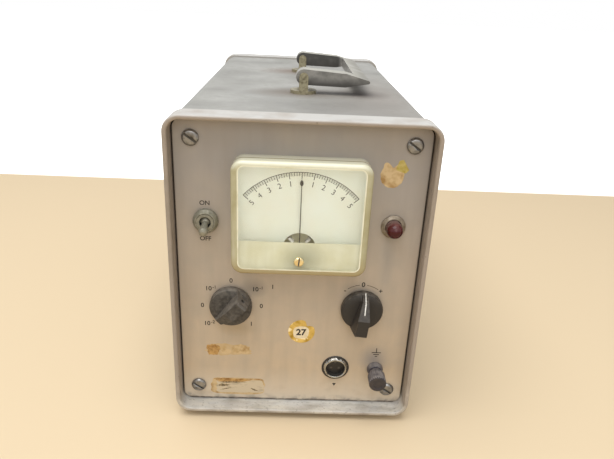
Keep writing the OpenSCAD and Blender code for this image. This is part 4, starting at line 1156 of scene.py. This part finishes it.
    def spring_arms(self, on_dial):
        """The two pale spring arms on the bridge, which show in the dial's cut-out."""
        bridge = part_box("meter_bridge")[0].y
        reach = bridge - DIAL_Y - 1.5 * MM
        on_bridge = on_dial @ Matrix.Translation((0, 0, DIAL_Y - bridge))
        bm = bmesh.new()
        for side in (-1, 1):
            bar(bm, (side * 4.4 * MM, 1.0 * MM), (side * 7.4 * MM, 4.0 * MM), 1.5 * MM, reach, on_bridge)
        make_piece("spring_arms", bm, [material_of(index_paint)], "case")

    def zero_screw(self):
        """The brass screw with dirt in its slot."""
        axis, front = PIVOT["meter_zero_turn"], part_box("zero_screw")[0].y
        slot_reach, slot_top, slot_floor = 2.6 * MM, 0.3 * MM, 1.4 * MM
        bm = solid_copy("zero_screw")
        soften(bm, 0.15 * MM, 2)
        for part in bm.faces:
            spot = part.calc_center_median()
            off_axis = math.hypot(spot.x - axis.x, spot.z - axis.z)
            part.material_index = int(off_axis < slot_reach and slot_top < spot.y - front < slot_floor)
        dress("zero_screw", bm, slot_dirt)


class DETECTOR_OT_switch_and_lamp(bpy.types.Operator):
    """Toggle switch and pilot lamp"""

    bl_idname = "detector.switch_and_lamp"
    bl_label = "Switch and lamp"

    def execute(self, context):
        softened_piece("toggle_nut", 0.35 * MM, 2)
        bm = solid_copy("toggle_body")
        for part in bm.faces:
            part.material_index = int(part.calc_center_median().y < FACE_Y + 0.1 * MM)
        dress("toggle_body", bm, toggle_nickel)
        softened_piece("lamp_bezel", 0.3 * MM, 2)
        return {"FINISHED"}


class DETECTOR_OT_knobs(bpy.types.Operator):
    """Both pointer knobs with their index lines"""

    bl_idname = "detector.knobs"
    bl_label = "Knobs"

    def execute(self, context):
        width = context.scene.detector_sizes.knob_round
        low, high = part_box("zero_knob")
        reach, crest = (high.x - low.x) / 2, FACE_Y - low.y
        # Side view of the pointer: distance from the axis, height over the panel
        tip, tip_height = reach - 4.1 * MM, 13 * MM
        lead = 0.65
        top = (tip * (1 - lead), tip_height + (crest - tip_height) * lead)
        line = [top, (tip, tip_height), (reach - 0.9 * MM, 6 * MM), (reach, 4.6 * MM)]
        worn = [(tip + 0.4 * MM, tip_height - 0.9 * MM), (reach - 1.0 * MM, 6.2 * MM)]
        # Turns at rest from straight up, anticlockwise
        range_rest, zero_rest = math.radians(135), math.radians(-6)
        for node, joint, turn, maker, name, points in (
                ("range_knob", "range_turn", range_rest, worn_index, "range_index", worn),
                ("zero_knob", "zero_turn", zero_rest, index_paint, "zero_index", line)):
            axis = PIVOT[joint]
            softened_piece(node, width, 3, 28, lambda edge: all(self.outside(v.co, axis) for v in edge.verts))
            self.index(points, on_front(axis.x, axis.z) @ Matrix.Rotation(turn, 4, "Z"), maker, name, node)
        return {"FINISHED"}

    def outside(self, spot, axis):
        """True for a point of a knob that shows: off the panel, and not in the bore of the shaft."""
        foot, bore, bore_end = 1.2 * MM, 3.6 * MM, 17 * MM
        out = FACE_Y - spot.y
        return out > foot and (math.hypot(spot.x - axis.x, spot.z - axis.z) > bore or out > bore_end)

    def index(self, points, place, maker, name, node):
        """A painted line along the knob's pointer, from point to point of its side view."""
        width, thickness = 0.75 * MM, 0.10 * MM
        bm = bmesh.new()
        for (y, z), (next_y, next_z) in zip(points, points[1:]):
            length = math.hypot(next_y - y, next_z - z)
            lie = Matrix.Translation((0, y, z)) @ Matrix.Rotation(math.atan2(next_z - z, next_y - y), 4, "X")
            bar(bm, (0, 0), (0, length), width, thickness, place @ lie)
        make_piece(name, bm, [material_of(maker)], body_of(node))


class DETECTOR_OT_terminals(bpy.types.Operator):
    """Input socket, binding post, fuse holder and line gland"""

    bl_idname = "detector.terminals"
    bl_label = "Terminals"

    def execute(self, context):
        softened_piece("input_collar", 0.15 * MM, 2)
        softened_piece("post_base", 0.35 * MM, 2)
        self.input_shell()
        self.post_cap()
        softened_piece("fuse_holder", 0.5 * MM)
        softened_piece("line_gland", 0.4 * MM)
        return {"FINISHED"}

    def input_shell(self):
        """The socket's shell, bright outside and dark in its bore."""
        axis = middle("input_collar")
        bore_from, bore_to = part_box("input_shell")[0].y + 0.4 * MM, FACE_Y + 3 * MM
        bm = solid_copy("input_shell")
        for part in bm.faces:
            spot = part.calc_center_median()
            inward = part.normal.dot(Vector((axis.x - spot.x, 0, axis.z - spot.z)))
            part.material_index = int(inward > 0 and bore_from < spot.y < bore_to)
        dress("input_shell", bm, soft_iron)

    def post_cap(self):
        """The binding post's cap, with painted shade on its front end."""
        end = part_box("post_cap")[0].y + 1.2 * MM
        bm = solid_copy("post_cap")
        for part in bm.faces:
            # Faces of the end turned to the front take the painted shade
            part.material_index = int(part.normal.y < -0.5 and part.calc_center_median().y < end)
        dress("post_cap", bm, cap_end_painted_shade)


class DETECTOR_OT_markings(bpy.types.Operator):
    """Printed words, numbers and signs on the front panel"""

    bl_idname = "detector.markings"
    bl_label = "Panel markings"

    def execute(self, context):
        sizes = context.scene.detector_sizes
        thick = sizes.print_height
        bm = bmesh.new()
        toggle = PIVOT["power_toggle"]
        for words, up in (("ON", 12.4), ("OFF", -13.8)):
            lettering(bm, words, sizes.legend_size, on_front(toggle.x - 0.6 * MM, toggle.z + up * MM), thick)
        self.range_numbers(bm, PIVOT["range_turn"], thick, sizes.range_size)
        self.zero_marks(bm, PIVOT["zero_turn"], thick, sizes.range_size * 1.1)
        self.ground_sign(bm, PIVOT["cap_turn"], thick)
        socket = middle("input_collar")
        arrow = [(-1.5 * MM, 1.1 * MM), (0, -1.5 * MM), (1.5 * MM, 1.1 * MM)]
        sheet_shape(bm, arrow, thick, on_front(socket.x, socket.z - 15.9 * MM))
        print_piece("panel_printing", bm)
        return {"FINISHED"}

    def range_numbers(self, bm, knob, thick, size):
        """Numbers and powers of ten round the range knob, placed in mm to the right and up."""
        for base, power, right, up in (
                ("0", "", 0, 19.3), ("10", "-1", -16.3, 12.4), ("0", "", -20.9, -1.6),
                ("10", "-2", -17.9, -16.9), ("1", "", 14.7, -16.4), ("0", "", 21.9, -1.0),
                ("10", "-1", 17.4, 12.8), ("1", "", 29.9, 15.2)):
            at = on_front(knob.x + right * MM, knob.z + up * MM)
            lettering(bm, base, size, at, thick)
            if power:
                raised = at @ Matrix.Translation((2.9 * MM, 1.2 * MM, 0))
                lettering(bm, power, size * 0.72, raised, thick, "LEFT")

    def zero_marks(self, bm, zero, thick, size):
        """Minus, zero and plus over the zero knob, joined by two arcs."""
        place = on_front(zero.x, zero.z)
        reach = 19.3 * MM
        for words, degrees in (("-", -42), ("0", 0), ("+", 42)):
            a = math.radians(degrees)
            at = place @ Matrix.Translation((reach * math.sin(a), reach * math.cos(a), 0))
            lettering(bm, words, size, at, thick)
        for start, end in ((-35, -8), (8, 35)):
            arc_band(bm, reach, 0.35 * MM, math.radians(start), math.radians(end), thick, place, 16)

    def ground_sign(self, bm, post, thick):
        """Earth sign over the binding post."""
        place = on_front(post.x, post.z + 14.5 * MM)
        bar(bm, (0, 0), (0, 4.0 * MM), 0.6 * MM, thick, place)
        for width, up in ((7.0, 0), (4.4, -1.7), (1.8, -3.4)):
            bar(bm, (-width / 2 * MM, up * MM), (width / 2 * MM, up * MM), 0.65 * MM, thick, place)


class DETECTOR_OT_labels(bpy.types.Operator):
    """Gold sticker, torn paper label, scrap of tape and dried adhesive"""

    bl_idname = "detector.labels"
    bl_label = "Labels and residue"

    def execute(self, context):
        knob, lamp = PIVOT["range_turn"], middle("lamp_bezel")
        self.sticker(context.scene.detector_sizes, 4.5 * MM, knob.z - 21.7 * MM)
        self.residue(lamp.x - 4.3 * MM, lamp.z + 36.5 * MM)
        self.smears(knob.x - 2 * MM, knob.z - 40 * MM)
        self.torn_label(knob.x + 4.6 * MM, knob.z - 73.3 * MM)
        return {"FINISHED"}

    def sticker(self, sizes, x, z):
        """A round foil seal with a torn notch and a pale middle that carries a plain number."""
        radius, count = 9.9 * MM, 72
        outline = []
        for i in range(count):
            a = 2 * math.pi * i / count
            tear = math.exp(-((math.degrees(a) - 52) / 17) ** 2)
            r = radius * (1 - 0.36 * tear - 0.03 * tear * math.sin(23 * a))
            outline.append((r * math.cos(a), r * math.sin(a)))
        sheet_piece("sticker_foil", outline, 0.08 * MM, on_front(x, z), gold_foil)
        middle_x, middle_z, paper = x - 0.3 * MM, z - 0.8 * MM, 0.13 * MM
        outline = ragged(11.4 * MM, 10.6 * MM, 3, [(2, 0.03, 0.5), (5, 0.015, 0.2)], 48)
        sheet_piece("sticker_middle", outline, paper, on_front(middle_x, middle_z), sticker_paper)
        bm = bmesh.new()
        lettering(bm, sizes.sticker_number, 7.2 * MM, on_front(middle_x, middle_z, paper),
                  sizes.print_height, bold=0.035)
        print_piece("sticker_number", bm)

    def residue(self, x, z):
        """A round patch of dried adhesive with a bite out of its top, and a scrap of yellow tape."""
        radius, count = 7.9 * MM, 96
        outline = []
        for i in range(count):
            a = 2 * math.pi * i / count
            degrees = math.degrees(a)
            bite = math.exp(-((degrees - 88) / 15) ** 2)
            horn = math.exp(-((degrees - 122) / 14) ** 2)
            waver = 0.015 * math.sin(9 * a) + 0.01 * math.sin(17 * a)
            r = radius * (1 - 0.38 * bite + 0.22 * horn + waver)
            outline.append((r * math.cos(a), 1.08 * r * math.sin(a)))
        sheet_piece("adhesive_patch", outline, 0.07 * MM, on_front(x, z), old_adhesive)
        scrap = [(-3.84, -1.92), (2.88, -4.08), (5.04, -1.68), (0.72, 5.28), (-1.92, 4.56), (-3.12, 1.2)]
        sheet_piece("tape_scrap", [(right * MM, up * MM) for right, up in scrap], 0.12 * MM,
                    on_front(x + 5.8 * MM, z + 5.9 * MM), yellow_tape)

    def smears(self, x, z):
        """Dried adhesive where a label was pulled off: a thin film with thicker blots on it."""
        for name, right, up, wide, high, thick, shift, maker in (
                ("smear_film", -0.6, 0.3, 33.0, 9.8, 0.03, 2.2, thin_adhesive),
                ("smear_brown", -11.8, 0.2, 9.6, 9.4, 0.06, 0.3, burnt_adhesive),
                ("smear_middle", -2.2, -1.2, 7.4, 4.4, 0.05, 1.9, old_adhesive),
                ("smear_amber", 9.0, 0.9, 13.0, 8.0, 0.05, 3.1, old_adhesive)):
            waves = [(3, 0.07, shift), (5, 0.06, 2 * shift), (11, 0.05, shift), (23, 0.03, 3 * shift)]
            outline = ragged(wide * MM, high * MM, 3, waves)
            sheet_piece(name, outline, thick * MM, on_front(x + right * MM, z + up * MM), maker)

    def torn_label(self, x, z):
        """A paper label over the edge of its own adhesive, stained along its top and rubbed dirty."""
        paper = 0.12 * MM
        for name, right, up, wide, high, power, thickness, waves, maker in (
                ("label_adhesive", 0, 0, 41, 15.4, 7, 0.05 * MM,
                 [(4, 0.02, 0.8), (9, 0.02, 0.1)], old_adhesive),
                ("label_paper", 1.6, 0, 36.5, 12.0, 7, paper,
                 [(3, 0.02, 2.0), (8, 0.025, 1.1), (17, 0.012, 0.0)], label_paper),
                ("label_stain", -4.6, 5.4, 24, 3.6, 3, 0.13 * MM,
                 [(3, 0.10, 0.4), (7, 0.10, 1.3), (15, 0.08, 0.2)], burnt_adhesive)):
            outline = ragged(wide * MM, high * MM, power, waves, 120)
            sheet_piece(name, outline, thickness, on_front(x + right * MM, z + up * MM), maker)
        bm = bmesh.new()
        for right, up, wide, high, tilt in ((-4.4, 3.8, 19.0, 1.4, 2.0), (-11.0, 0.9, 8.0, 2.4, 2.0),
                                            (-9.4, -2.6, 8.0, 0.8, 14.0), (12.6, -3.0, 5.6, 1.3, -24.0)):
            waves = [(3, 0.10, right), (7, 0.12, up), (13, 0.10, wide)]
            at = on_front(x + right * MM, z + up * MM, paper)
            turned = at @ Matrix.Rotation(math.radians(tilt), 4, "Z")
            sheet_shape(bm, ragged(wide * MM, high * MM, 2, waves), 0.03 * MM, turned)
        make_piece("label_dirt", bm, [material_of(rubbed_dirt)], "case")


class DETECTOR_PT_sidebar(bpy.types.Panel):
    """Lists the detector's operators and settings"""

    bl_idname = "DETECTOR_PT_sidebar"
    bl_label = "Null detector"
    bl_space_type = "VIEW_3D"
    bl_region_type = "UI"
    bl_category = "Detector"

    def draw(self, context):
        for step in STEPS:
            self.layout.operator(step.bl_idname)
        for group_name in GROUPS:
            group = getattr(context.scene, group_name)
            for name in group.bl_rna.properties.keys():
                if name not in ("rna_type", "name"):
                    self.layout.prop(group, name)


STEPS = [
    DETECTOR_OT_stage, DETECTOR_OT_finishes, DETECTOR_OT_case, DETECTOR_OT_handle, DETECTOR_OT_meter,
    DETECTOR_OT_switch_and_lamp, DETECTOR_OT_knobs, DETECTOR_OT_terminals, DETECTOR_OT_markings,
    DETECTOR_OT_labels]
GROUPS = {
    "detector_sizes": DetectorSizes,
    "detector_colours": DetectorColours,
    "detector_stage": DetectorStage}
CLASSES = [*GROUPS.values(), *STEPS, DETECTOR_PT_sidebar]


def register():
    for item in CLASSES:
        bpy.utils.register_class(item)
    for name, group in GROUPS.items():
        setattr(bpy.types.Scene, name, PointerProperty(type=group))


def unregister():
    for name in GROUPS:
        delattr(bpy.types.Scene, name)
    for item in reversed(CLASSES):
        bpy.utils.unregister_class(item)


def main():
    register()
    for step in STEPS:
        group, name = step.bl_idname.split(".")
        getattr(getattr(bpy.ops, group), name)()


if __name__ == "__main__":
    main()
